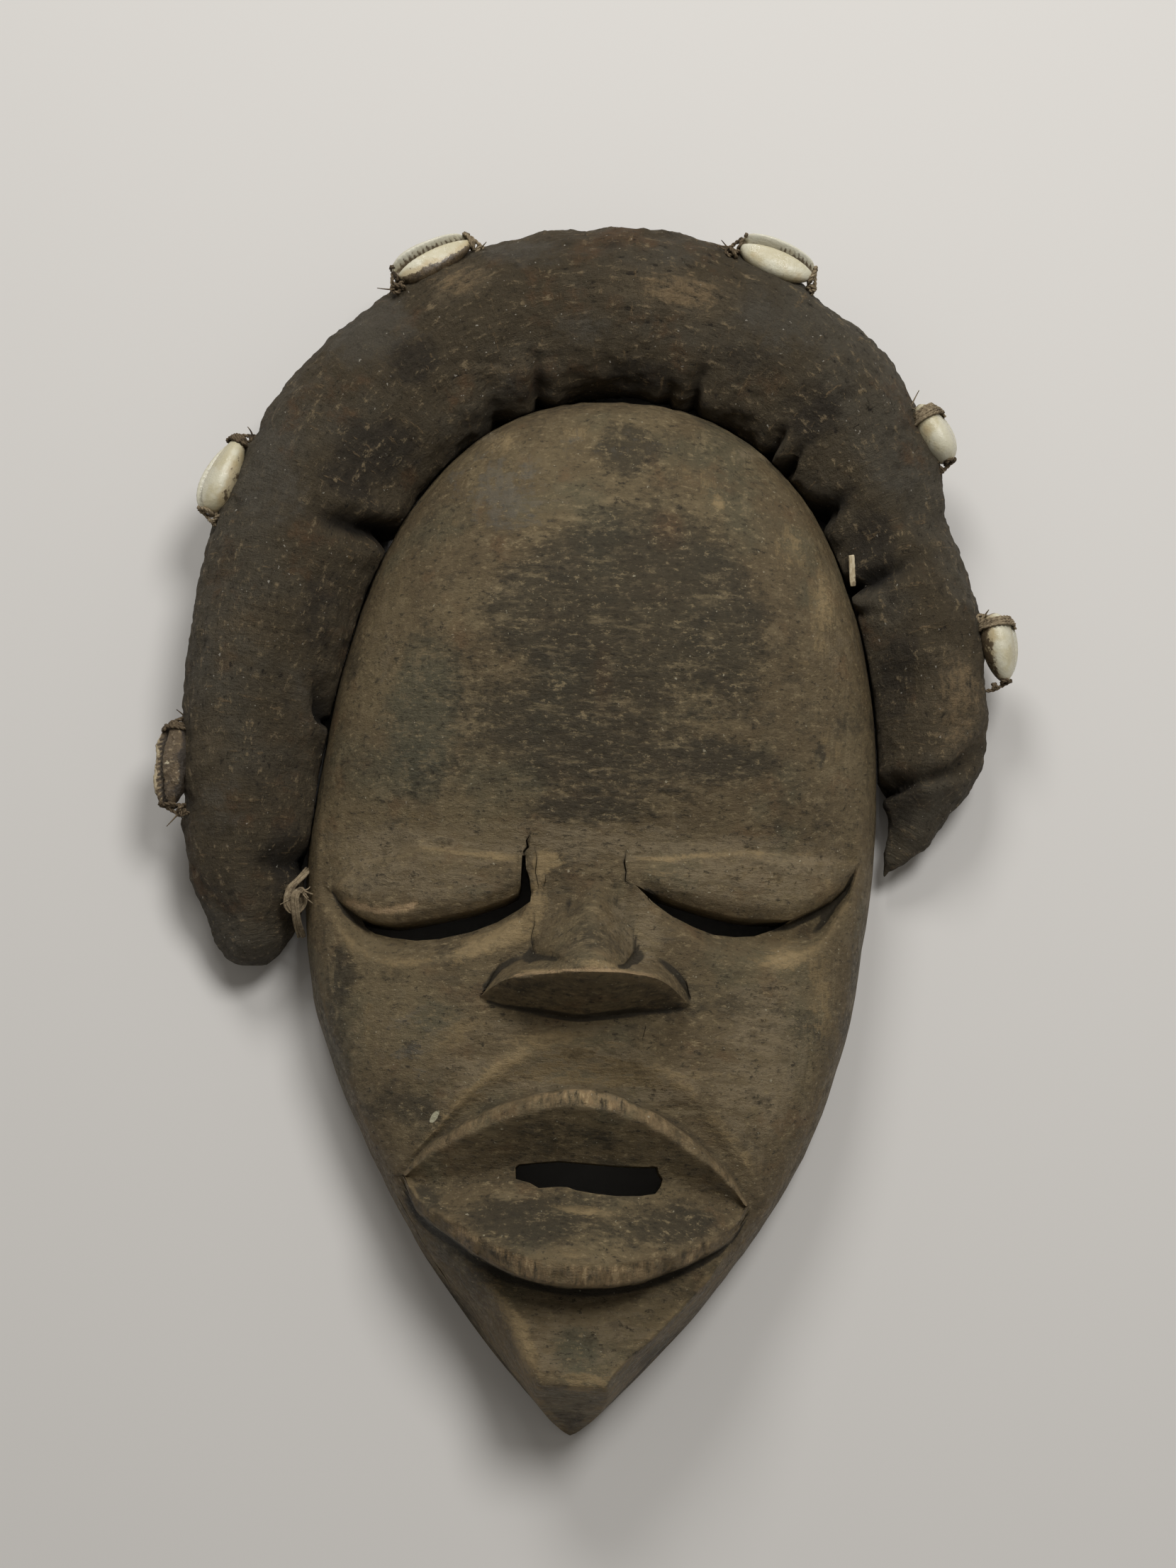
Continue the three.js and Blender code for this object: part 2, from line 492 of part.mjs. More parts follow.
// A cowrie: an egg with its toothed slot on the outward side
function cowrieSolid(length, grow = 0) {
  const egg = new THREE.SphereGeometry(1, 11, 7);
  egg.rotateZ(Math.PI / 2);
  const p = egg.attributes.position;
  for (let i = 0; i < p.count; i++) {
    const x = p.getX(i);
    const wide = (1 - SHELL.taper * x) * (SHELL.wide / 2 + grow);
    p.setXYZ(i, x * (length / 2 + grow), p.getY(i) * wide, p.getZ(i) * (SHELL.thick / 2 + grow));
  }
  const solid = solidOf(egg);
  if (grow > 0) return solid;
  const half = (length * SHELL.slotLong) / 2;
  const wide = SHELL.slotWide / 2;
  const corners = [[-half, 0], [0, -wide], [half, 0], [0, wide]];
  const slot = new THREE.Shape(corners.map((corner) => new THREE.Vector2(...corner)));
  const cutter = new THREE.ExtrudeGeometry(slot, { depth: SHELL.thick, bevelEnabled: false });
  cutter.translate(0, 0, SHELL.thick / 2 - SHELL.slotDeep);
  return solid.subtract(solidOf(cutter));
}

// Shells from left to right: place along the roll's stations, lift round the roll and length
const SHELLS = [
  { at: 4.15, tilt: 0.3, length: 23.5 },
  { at: 7.2, tilt: 0.3, length: 22.5 },
  { at: 9.63, tilt: 0.35, length: 22 },
  { at: 11.9, tilt: -0.35, length: 20 },
  { at: 12.06, tilt: 0.35, length: 21 },
  { at: 14.0, tilt: 0.25, length: 17.5 },
  { at: 16.36, tilt: 0.25, length: 18.5 },
];

function shellMatrix(shell) {
  const frame = rollFrame(shell.at / (ROLL_STATIONS.length - 1));
  const up = new THREE.Vector3(0, 0, 1);
  const out = frame.out.clone().multiplyScalar(Math.cos(shell.tilt));
  out.addScaledVector(up, Math.sin(shell.tilt) * ROLL_FLATNESS);
  const place = frame.centre.clone().addScaledVector(out, frame.radius + SHELL.thick / 2 - SHELL.sink);
  out.normalize();
  const side = new THREE.Vector3().crossVectors(out, frame.along);
  return new THREE.Matrix4().makeBasis(frame.along, side, out).setPosition(place);
}

function placed(solid, matrix) {
  return solidOf(geometryOf(solid).applyMatrix4(matrix));
}

// A thread knot at a shell's end, sunk into the cloth
function knotMatrix(shell, end) {
  const along = end * (shell.length / 2 + KNOT.radius + KNOT.clear);
  const local = new THREE.Matrix4().makeTranslation(along, 0, KNOT.lift - SHELL.thick / 2);
  return shellMatrix(shell).multiply(local);
}
function knotSolid(grow = 0) {
  const knot = new THREE.OctahedronGeometry(KNOT.radius + grow, 1);
  return solidOf(knot.scale(1, KNOT.long, KNOT.flat));
}

// The strip that ties the roll's left end to the wood, and the pin at the right
function lashingSolid(grow = 0) {
  const body = new THREE.CapsuleGeometry(LASHING.radius + grow, LASHING.length, 3, 8);
  return solidOf(body.rotateZ(LASHING.lean).translate(LASHING.x, LASHING.y, LASHING.z));
}
function pinSolid(grow = 0) {
  const pin = new THREE.CylinderGeometry(PIN.radius + grow, PIN.radius + grow, PIN.length + 2 * grow, 8);
  return solidOf(pin.rotateZ(PIN.lean).rotateX(PIN.dip).translate(PIN.x, PIN.y, PIN.z));
}

const group = new THREE.Group();

function addPiece(name, solid, color, roughness) {
  const material = new THREE.MeshStandardMaterial({ color, roughness, metalness: 0 });
  const mesh = new THREE.Mesh(geometryOf(solid), material);
  mesh.name = name;
  group.add(mesh);
}

const trims = [];
SHELLS.forEach((shell, i) => {
  const number = i + 1;
  const matrix = shellMatrix(shell);
  trims.push({
    name: `cowrie_${number}`,
    solid: placed(cowrieSolid(shell.length), matrix),
    grown: placed(cowrieSolid(shell.length, GAP), matrix),
    color: number === 1 ? 0x6b543c : 0xcfc4a4,
    roughness: 0.35,
  });
  ["a", "b"].forEach((letter, k) => {
    const knot = knotMatrix(shell, k ? 1 : -1);
    trims.push({
      name: `thread_${number}_${letter}`,
      solid: placed(knotSolid(), knot),
      grown: placed(knotSolid(GAP), knot),
      color: 0x4a3a28,
      roughness: 0.95,
    });
  });
});
const lashing = { solid: lashingSolid(), grown: lashingSolid(GAP) };
const pin = { solid: pinSolid(), grown: pinSolid(GAP) };
trims.push({ name: "lashing_left", ...lashing, color: 0x5c4a34, roughness: 0.9 });
trims.push({ name: "pin_right", ...pin, color: 0x8f8262, roughness: 0.7 });

// The roll is pressed against the wood and under everything that is sewn to it
const woodGrown = domeSolid(outerRows(GAP), 0);
const pressed = trims.reduce((roll, trim) => roll.subtract(trim.grown), rollSolid().subtract(woodGrown));

addPiece("mask", maskSolid(), 0x4f4437, 0.6);
addPiece("padded_roll", pressed, 0x3f3226, 0.95);
trims.forEach((trim) => addPiece(trim.name, trim.solid.subtract(woodGrown), trim.color, trim.roughness));

// The finished piece stands on Z = 0 with the middle of its length and width at the origin
const box = new THREE.Box3().setFromObject(group);
const middle = box.getCenter(new THREE.Vector3());
group.position.set(-middle.x, -middle.y, -box.min.z);
group.updateMatrixWorld(true);

export default group;
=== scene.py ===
import math

import bmesh
import bpy
import numpy as np
from mathutils import Matrix, Vector, noise

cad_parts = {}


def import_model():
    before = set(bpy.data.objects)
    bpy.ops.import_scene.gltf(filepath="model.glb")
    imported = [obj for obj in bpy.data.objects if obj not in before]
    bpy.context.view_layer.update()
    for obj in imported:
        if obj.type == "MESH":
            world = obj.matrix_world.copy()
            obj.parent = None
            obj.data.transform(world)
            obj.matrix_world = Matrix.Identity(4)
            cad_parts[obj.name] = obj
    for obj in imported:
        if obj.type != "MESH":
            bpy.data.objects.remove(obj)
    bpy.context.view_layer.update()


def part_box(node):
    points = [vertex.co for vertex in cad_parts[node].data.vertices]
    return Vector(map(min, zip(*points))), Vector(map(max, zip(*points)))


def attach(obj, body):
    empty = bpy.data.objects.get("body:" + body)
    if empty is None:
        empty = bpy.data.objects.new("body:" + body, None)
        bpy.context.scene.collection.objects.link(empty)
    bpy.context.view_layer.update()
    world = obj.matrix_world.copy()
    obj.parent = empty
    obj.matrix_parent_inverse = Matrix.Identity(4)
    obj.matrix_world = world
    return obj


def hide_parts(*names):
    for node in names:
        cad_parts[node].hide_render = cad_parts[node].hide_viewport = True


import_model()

# The view: the mask lies on its back rim and the camera looks down on it, ten degrees off
# the straight view towards the chin and turned a little, at the photograph's distance.
MM = 0.001
FACE_LENGTH, HALF_WIDTH, WIDEST_Y = 284.0, 77.5, 150.0
CHEEK_CURVE, CROWN_CURVE = 0.86, 2.35
AXIS_BOW, AXIS_BOW_Y, AXIS_BOW_REACH = -3.1, 130.0, 45.0
VIEW_TILT, VIEW_TURN = math.radians(10), math.radians(2.94)
VIEW_DISTANCE = 0.7
VIEW_TARGET = (-4.12, 171.13, 35.0)
FOCAL_LENGTH, SENSOR_HEIGHT = 60.38, 36.0


def half_width(y, half=HALF_WIDTH, bottom=0.0, top=FACE_LENGTH):
    """Half the width of the wooden face at a height above the chin, in mm."""
    low = np.clip((y - bottom) / (WIDEST_Y - bottom), 0, 1) ** CHEEK_CURVE
    high = np.clip((y - WIDEST_Y) / (top - WIDEST_Y), 0, 1) ** CROWN_CURVE
    return half * np.where(y < WIDEST_Y, np.sin(math.pi / 2 * low), (1 - high) ** (1 / CROWN_CURVE))


def axis_x(y):
    """The carving's axis, which bows a little to the left at the nose."""
    return AXIS_BOW * np.exp(-(((y - AXIS_BOW_Y) / AXIS_BOW_REACH) ** 2))


# The carver's own frame: millimetres, X across from the axis, Y up from the chin, Z off the rim
rim_y = np.linspace(0, FACE_LENGTH, 4000)
rim_left = (axis_x(rim_y) - half_width(rim_y)).min()
rim_right = (axis_x(rim_y) + half_width(rim_y)).max()
mask_low, mask_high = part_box("mask")
CARVER = np.array([
    (mask_low.x + mask_high.x) / 2 - MM * (rim_left + rim_right) / 2,
    mask_low.y,
    mask_low.z,
])


def world(points):
    """Carver's millimetres to metres in the shared frame."""
    return CARVER + MM * np.asarray(points, dtype=float)


camera = bpy.data.objects.new("camera", bpy.data.cameras.new("camera"))
camera.data.sensor_fit = "VERTICAL"
camera.data.sensor_height = SENSOR_HEIGHT
camera.data.lens = FOCAL_LENGTH
away = Vector((0, -math.sin(VIEW_TILT), math.cos(VIEW_TILT)))
level_up = Vector((0, math.cos(VIEW_TILT), math.sin(VIEW_TILT)))
right = Vector((1, 0, 0)) * math.cos(VIEW_TURN) + level_up * math.sin(VIEW_TURN)
up = level_up * math.cos(VIEW_TURN) - Vector((1, 0, 0)) * math.sin(VIEW_TURN)
placing = Matrix((right, up, away)).transposed().to_4x4()
placing.translation = Vector(world(VIEW_TARGET)) + away * VIEW_DISTANCE
camera.matrix_world = placing
bpy.context.scene.collection.objects.link(camera)
bpy.context.scene.camera = camera


# The floor is a wide pale sheet under the mask. The light is two soft lamps beyond the crown,
# a low one at the left and a high one at the right, in a pale room.
FLOOR_SIZE = 6.0
FLOOR_COLOUR = (0.62, 0.60, 0.57, 1)
ROOM_COLOUR, ROOM_LIGHT = (1, 0.96, 0.9, 1), 0.22
LAMP_SIZE, LAMP_AIM = 0.4, (0, 0, 0.03)


def add_piece(name, shape):
    """Makes a finished bmesh an object of the scene."""
    piece = bpy.data.objects.new(name, bpy.data.meshes.new(name))
    shape.to_mesh(piece.data)
    shape.free()
    bpy.context.scene.collection.objects.link(piece)
    return piece


sheet = bmesh.new()
bmesh.ops.create_grid(sheet, x_segments=1, y_segments=1, size=FLOOR_SIZE / 2)
floor = add_piece("floor", sheet)
floor_paint = bpy.data.materials.new("pale_floor")
floor_paint.use_nodes = True
floor_shader = floor_paint.node_tree.nodes["Principled BSDF"]
floor_shader.inputs["Base Color"].default_value = FLOOR_COLOUR
floor_shader.inputs["Roughness"].default_value = 0.9
floor.data.materials.append(floor_paint)


def soft_lamp(name, place, power):
    lamp = bpy.data.objects.new(name, bpy.data.lights.new(name, "AREA"))
    lamp.data.shape = "DISK"
    lamp.data.size = LAMP_SIZE
    lamp.data.energy = power
    lamp.location = place
    lamp.rotation_euler = (Vector(LAMP_AIM) - Vector(place)).to_track_quat("-Z", "Y").to_euler()
    bpy.context.scene.collection.objects.link(lamp)


soft_lamp("crown_lamp", (-0.22, 0.8, 0.8), 5.2)
soft_lamp("face_lamp", (0.3, 0.46, 1.05), 7.4)
room = bpy.data.worlds.new("room")
room.use_nodes = True
room.node_tree.nodes["Background"].inputs["Color"].default_value = ROOM_COLOUR
room.node_tree.nodes["Background"].inputs["Strength"].default_value = ROOM_LIGHT
bpy.context.scene.world = room
bpy.context.scene.view_settings.view_transform = "Standard"


# The wooden face is carved from one block: a domed forehead, heavy lids over two slits, a
# steep nose, and lips that stand out round a slot. The back is hollowed to a flat rim.
# The front is a fine grid laid under the carver's height rule; cutters open the three slots.
SIDE_WALL, WALL_CURVE = 24.0, 28
DOME_CURVE, DOME_FALL = 2.3, 0.6
CHIN_EDGE_Y, CHIN_EDGE_Z, CHIN_EDGE_SOFT = 15.0, 44.0, 2.5
CHIN_FADE_LOW, CHIN_FADE_HIGH = 30.0, 64.0
FACET_CURVE_LEFT, FACET_CURVE_RIGHT = 1.9, 1.4
LEFT_EYE, RIGHT_EYE = (-75.0, -17.6), (6.2, 69.0)
SOCKET_DEPTH = 7.0
BROW_DROP, BROW_BETWEEN = 1.7, 0.5
BROW_ABOVE, BROW_BELOW = 11.0, 3.4
LID_ROUND, LID_REACH, LID_PROUD, LID_STEP = 3.0, 4.0, 0.6, 1.3
LIP_HEIGHT, LIP_CORNER, LIP_STEP = 58.0, 36.0, 1.1
LIP_BEVEL_LOW, LIP_BEVEL_UP = 4.0, 3.0
CREST_IN_LOW, CREST_IN_UP, CREST_IN_LEAST = 4.6, 3.4, 0.2
MEETING_SOFT, LIP_SOFT = 1.6, 3.2
MOUTH_LEFT, MOUTH_RIGHT, MOUTH_MIDDLE, MOUTH_HALF = -46.7, 42.8, -2.0, 44.8
MOUTH_FLOOR, MOUTH_FLOOR_END = 42.0, 35.0
ARCH_RIDGE, ARCH_VALLEY, LIP_GROOVE = 0.9, 1.4, 1.5
NOSE_TIP, NOSE_TIP_Y, NOSE_RIDGE_X = 72.5, 121.0, -0.8
NOSE_TOP_Y, NOSE_TOP_Z = 143.0, 48.7
NOSE_LEFT, NOSE_RIGHT = -29.0, 25.0
WING_SCOOP = 1.2
HOLLOW_SIDE, HOLLOW_CHIN, HOLLOW_CROWN = 8.0, 22.0, 276.0
HOLLOW_FLOOR, HOLLOW_CURVE, HOLLOW_FALL = -5.0, 2.8, 0.42


def through(points):
    """A smooth rule through given points, level beyond its ends."""
    px, py = np.array(points, dtype=float).T
    after = np.minimum(np.arange(len(px)) + 1, len(px) - 1)
    before = np.maximum(np.arange(len(px)) - 1, 0)
    slope = (py[after] - py[before]) / (px[after] - px[before])

    def rule(t):
        t = np.clip(t, px[0], px[-1])
        i = np.clip(np.searchsorted(px, t, side="right") - 1, 0, len(px) - 2)
        span = px[i + 1] - px[i]
        s = (t - px[i]) / span
        rise = py[i + 1] - py[i]
        a = slope[i] * span - rise
        b = rise - slope[i + 1] * span
        return py[i] + rise * s + s * (1 - s) * (a * (1 - s) + b * s)

    return rule


def ease(low, high, t):
    """Goes smoothly from 0 at low to 1 at high."""
    s = np.clip((t - low) / (high - low), 0, 1)
    return s * s * (3 - 2 * s)


def soft_min(a, b, soft):
    """The lower of two heights, rounded where they cross."""
    return np.minimum(a, b) - soft / 4 * np.maximum(0, 1 - np.abs(a - b) / soft) ** 2


def spread(x, y, half=HALF_WIDTH, bottom=0.0, top=FACE_LENGTH):
    """How far a point is from the axis towards the outline, 0 to 1."""
    off = np.abs(x - axis_x(y))
    low = off / np.maximum(half_width(y, half, bottom, top), 1e-6)
    past = np.maximum(y - WIDEST_Y, 0) / (top - WIDEST_Y)
    high = ((off / half) ** CROWN_CURVE + past**CROWN_CURVE) ** (1 / CROWN_CURVE)
    return np.clip(np.where(y < WIDEST_Y, low, high), 0, 1)


# Along the axis: the head's height, and how far out the chin's facets start on either side
crown = through([
    (0, 44), (15, 44), (26, 41.5), (38, 39.5), (48, 41), (62, 42), (80, 44), (100, 46.5), (120, 47),
    (138, 47.5), (150, 50), (180, 58), (215, 66), (284, 66),
])
chin_left = through([(15, 0.46), (30, 0.46), (40, 0.57), (60, 0.6)])
chin_right = through([
    (15, 0.47), (18.7, 0.49), (22.3, 0.56), (26, 0.66), (31.9, 0.74), (43.2, 0.84),
])


def head_height(x, y):
    """The plain head: an upright wall under a dome, and a chin of two facets."""
    r = spread(x, y)
    wall = np.minimum(SIDE_WALL, crown(y)) * np.sqrt(1 - r**WALL_CURVE)
    dome = (crown(y) - SIDE_WALL) * (1 - r**DOME_CURVE) ** DOME_FALL
    on_left = x < axis_x(y)
    edge = np.where(on_left, chin_left(y), chin_right(y))
    past_edge = np.maximum(0, (r - edge) / (1 - edge))
    facet = crown(y) * (1 - past_edge ** np.where(on_left, FACET_CURVE_LEFT, FACET_CURVE_RIGHT))
    chin = 1 - ease(CHIN_FADE_LOW, CHIN_FADE_HIGH, y)
    head = (wall + dome) * (1 - chin) + facet * chin
    return soft_min(head, CHIN_EDGE_Z / CHIN_EDGE_Y * y, CHIN_EDGE_SOFT)


# Across the eyes: the brow, the sockets' lower edge, the lids' lower edge and, at the left, the
# upper edge of the leaf shape that the lid is cut to
brow = through([
    (-76, 150.6), (-60, 151.4), (-46, 151.2), (-20, 149.6), (0, 149.8), (35, 154), (67, 157),
    (76, 157),
])
ledge = through([
    (-77, 140), (-74.3, 137), (-71.9, 133), (-69.2, 130.6), (-65.9, 126.9), (-62.3, 124.1),
    (-57.8, 121.8), (-51.2, 120.6), (-44.8, 121.6), (-36.2, 122.8), (-27.7, 126.3), (-22, 131),
    (-19.4, 133.7), (-17.3, 137.6), (-15.5, 140), (-4, 140.5), (5, 142), (9.6, 142.7), (12, 139.9),
    (15, 136.7), (19, 133.6), (23.4, 131.3), (29.6, 128), (39.2, 125.8), (44.4, 125.3),
    (54.6, 128.2), (59.6, 132.1), (64.6, 140.2), (66.8, 144.5), (68.6, 151.5),
])
lid_edge = through([
    (-77, 141.5), (-72.5, 140.8), (-70.8, 139.6), (-68.1, 136.8), (-65, 134.5), (-61.4, 132.4),
    (-57.4, 131.1), (-52.2, 130.4), (-47.9, 131), (-38.9, 132.9), (-32.5, 134.5), (-24, 137.6),
    (-20, 139.2), (-15.5, 140.1), (-4, 140.6), (5, 142.1), (9.6, 142.9), (14.6, 140.9),
    (20.4, 139.3), (28.2, 137.5), (36, 136.3), (41.2, 136.2), (50.5, 137.2), (54, 139),
    (59.1, 141.9), (64.2, 145.9), (66.7, 149), (68.6, 151.7),
])
leaf_top = through([
    (-72, 138), (-70.8, 139.8), (-68.6, 142.1), (-65.7, 145), (-62.4, 147), (-57.3, 148.4),
    (-52.6, 149.8), (-47, 154),
])


def eye_share(x):
    """One over a lid and its socket, nothing between the eyes and at the temples."""
    left = ease(0, 2, x - LEFT_EYE[0]) * ease(0, 2, LEFT_EYE[1] - x)
    return left + ease(0, 2.5, x - RIGHT_EYE[0]) * ease(0, 2.5, RIGHT_EYE[1] - x)


def lid_height(x, y, z, depth, gap):
    """The lids, rounded to their edge, and the sunk strip above the leaf shape's end."""
    below_brow = ease(0, 4.5, brow(x) - y)
    edge = 1 - np.clip((y - lid_edge(x)) / LID_REACH, 0, 1)
    end = np.where(x < -19, 1 - np.clip((-20.4 - x) / 1.8, 0, 1), 0)
    rounding = LID_ROUND * ease(0, 4, gap) * edge**1.6 * below_brow
    lid = z + LID_PROUD * eye_share(x) - rounding - end**2
    beside = z - np.minimum(LID_STEP, depth) * below_brow
    return beside + (lid - beside) * ease(0, 1.4, leaf_top(x) - y)


def with_eyes(x, y, z):
    under = brow(x) - y
    gap = lid_edge(x) - ledge(x)
    depth = SOCKET_DEPTH * ease(0.5, 8, gap) * (0.25 + 0.75 * ease(-73, -60, x))
    hollow = z - depth * ease(-1.5, 6.5, y - ledge(x))
    carved = hollow + (lid_height(x, y, z, depth, gap) - hollow) * ease(-0.7, 0, y - lid_edge(x))
    off = np.abs(under) / np.where(under < 0, BROW_ABOVE, BROW_BELOW)
    dip = (BROW_BETWEEN + (BROW_DROP - BROW_BETWEEN) * eye_share(x)) * np.exp(-(off**1.6))
    return np.where(under < 0, z, carved) - dip


# Across the nose: its front edge, the line where its underside meets the face, the height of the
# front edge and the top of the wings. Up the nose: half the ridge's width on either side.
nose_edge = through([
    (-29, 112.3), (-25.4, 114.8), (-19.8, 116.2), (-13.4, 116.7), (-6.7, 117), (1.2, 117.3),
    (6.6, 117.6), (14.8, 117.5), (18.4, 116.6), (21.2, 115.1), (25, 112.6),
])
nose_base = through([
    (-29, 111.7), (-23.2, 109.9), (-12.3, 108.6), (-3.6, 107.6), (2.8, 108.5), (9.2, 109.7),
    (17.8, 110.6), (25, 112.1),
])
nose_rim = through([
    (-29, 46), (-25, 53), (-19.8, 60.5), (-13, 66), (-6.5, 70.5), (0, NOSE_TIP), (6.5, 70.5),
    (11, 67), (15, 63), (19, 57.5), (25, 46),
])
wing_top = through([
    (-29, 112.6), (-27.7, 114.9), (-25.8, 118.7), (-23.8, 121.8), (-19.6, 124.2), (-15.3, 124.6),
    (-10.5, 123.4), (-7.5, 121), (-5.5, 119.4), (-3, 119.9), (1.4, 121), (5, 120), (7.2, 120.6),
    (8.6, 123), (10, 125.6), (14.8, 126.3), (19.3, 124.1), (22.9, 120.8), (24.6, 116.8), (25, 113),
])
nose_left = through([(118, 17), (126, 16), (130, 14.2), (134, 11), (138, 6.8), (142, 4)])
nose_right = through([(118, 13), (128, 11.5), (133, 10), (136.5, 8), (140, 5), (142, 4)])


def nose_body(x, y, z):
    """The ridge, which falls from the tip to the brow."""
    rise = np.clip((y - NOSE_TIP_Y) / (NOSE_TOP_Y - NOSE_TIP_Y), 0, 1)
    ridge = NOSE_TIP + (NOSE_TOP_Z - NOSE_TIP) * rise**0.78
    half = np.where(x < NOSE_RIDGE_X, nose_left(y), nose_right(y))
    off = np.minimum(np.abs(x - NOSE_RIDGE_X) / half, 1)
    return z + np.maximum(0, ridge - z) * (1 - off**2) ** (1.15 + 1.15 * rise)


def with_nose(x, y, z):
    """The ridge with its two wings, and the flat underside below its front edge."""
    t = (y - nose_base(x)) / np.maximum(nose_edge(x) - nose_base(x), 0.2)
    underside = np.maximum(z, z + (nose_rim(x) - z) * np.clip(t, 0, 1))
    lobe = np.clip((wing_top(x) - y) / np.maximum(wing_top(x) - nose_edge(x), 0.3), 0, 1)
    body = nose_body(x, np.maximum(y, wing_top(x)), z)
    wing = ease(5, 11, np.abs(x - NOSE_RIDGE_X))
    scoop = WING_SCOOP * wing * np.sin(math.pi * np.clip(lobe / 0.6, 0, 1))
    above = body + np.maximum(0, nose_rim(x) - body) * lobe ** (1 + 0.5 * wing) - scoop
    nose = np.where(y < nose_edge(x), underside, above)
    near = (x > NOSE_LEFT) & (x < NOSE_RIGHT) & (y > nose_base(x)) & (y < NOSE_TOP_Y)
    return np.where(near, nose, z)


# Across the mouth: the lips' lower and upper outline, the line where they meet, and the arch above
lip_low = through([
    (-46.7, 65.6), (-44.6, 60.6), (-42.1, 56.8), (-31, 49.6), (-22.9, 45), (-13.7, 41.6),
    (-4.7, 40.2), (4.8, 40.2), (14.3, 41.9), (23.9, 45.4), (33.6, 50.3), (40.1, 55.6), (42.8, 62),
])
lip_up = through([
    (-46.7, 65.9), (-41.5, 72.2), (-36.4, 75.9), (-25, 82.7), (-16.1, 86.2), (-7.2, 88.5),
    (1.1, 88.8), (8.8, 87.2), (18.7, 83.2), (25.4, 79.2), (32.3, 74.3), (38.6, 68.5), (42.8, 62.3),
])
slot_line = through([
    (-46.7, 65.7), (-40, 64), (-26.9, 66.2), (-17.6, 68.3), (20.4, 67), (29.8, 65.2), (39, 63),
    (42.8, 62.2),
])
lip_arch = through([
    (-56, 62), (-45.6, 70.6), (-39.4, 77), (-33.2, 84.9), (-27, 91), (-19.4, 96.5), (-11.7, 99.3),
    (-2, 100.6), (5.2, 100.2), (11.8, 98.7), (21.9, 93.4), (30.8, 86.2), (39.2, 76.4), (46.3, 67.8),
    (54, 60),
])


def mouth_share(x):
    """Nothing at the middle of the mouth, one at its corners."""
    return np.clip(np.abs(x - MOUTH_MIDDLE) / MOUTH_HALF, 0, 1)


def lip_taper(x):
    return np.sqrt(1 - mouth_share(x) ** 2)


def crest_low(x):
    return lip_low(x) + CREST_IN_LOW * lip_taper(x) + CREST_IN_LEAST


def crest_up(x):
    return lip_up(x) - CREST_IN_UP * lip_taper(x) - CREST_IN_LEAST


def around_mouth(x, y):
    """The arch and its valley above the lips, and the groove below them, in mm."""
    above_arch = y - lip_arch(x)
    ridge = ARCH_RIDGE * np.exp(-((above_arch / np.where(above_arch > 0, 5.5, 4.5)) ** 2))
    ridge *= ease(58, 40, np.abs(x))
    depth = np.clip((y - lip_up(x)) / np.maximum(lip_arch(x) - lip_up(x), 0.5), 0, 1) ** 0.7
    valley = ARCH_VALLEY * np.sin(math.pi * depth) * lip_taper(x)
    groove = LIP_GROOVE * np.exp(-(((lip_low(x) - 1.5 - y) / 3) ** 2)) * lip_taper(x)
    return np.where(y > lip_up(x), ridge - valley, 0) - np.where(y < lip_low(x), groove, 0)


def lip_height(x, y):
    """Both lips, which rise from where they meet to a crest and fall off in a bevel."""
    taper = lip_taper(x)
    rim = LIP_HEIGHT - (LIP_HEIGHT - LIP_CORNER) * mouth_share(x) ** 1.9
    bottom = MOUTH_FLOOR - (MOUTH_FLOOR - MOUTH_FLOOR_END) * mouth_share(x) ** 2
    low_bevel = rim - LIP_BEVEL_LOW * taper * (crest_low(x) - y) / (crest_low(x) - lip_low(x))
    up_bevel = rim - LIP_BEVEL_UP * taper * (y - crest_up(x)) / (lip_up(x) - crest_up(x))
    lower = y < slot_line(x)
    reach = np.maximum(np.abs(np.where(lower, crest_low(x), crest_up(x)) - slot_line(x)), 0.1)
    away = np.abs(y - slot_line(x))
    off = np.sqrt(away**2 + MEETING_SOFT**2) - MEETING_SOFT * (1 - np.clip(away / reach, 0, 1))
    lips = bottom + (rim - bottom) * np.clip(off / reach, 0, 2) ** 1.15
    return soft_min(lips, np.where(lower, low_bevel, up_bevel), LIP_SOFT * taper + 0.01)


def with_mouth(x, y, z):
    face = z + around_mouth(x, y)
    inside = ease(-LIP_STEP, 0, np.minimum(y - lip_low(x), lip_up(x) - y))
    inside = np.where((x > MOUTH_LEFT) & (x < MOUTH_RIGHT), inside, 0)
    return face + (lip_height(x, y) - face) * inside


def face_height(x, y):
    return with_mouth(x, y, with_nose(x, y, with_eyes(x, y, head_height(x, y))))


hollow_crown = through([
    (22, 24), (60, 29), (100, 31), (135, 32), (150, 35), (180, 43), (215, 51), (284, 52),
])


def hollow_height(x, y):
    r = spread(x, y, HALF_WIDTH - HOLLOW_SIDE, HOLLOW_CHIN, HOLLOW_CROWN)
    depth = (hollow_crown(y) - HOLLOW_FLOOR) * (1 - r**HOLLOW_CURVE) ** HOLLOW_FALL
    return np.maximum(HOLLOW_FLOOR + depth, 0)


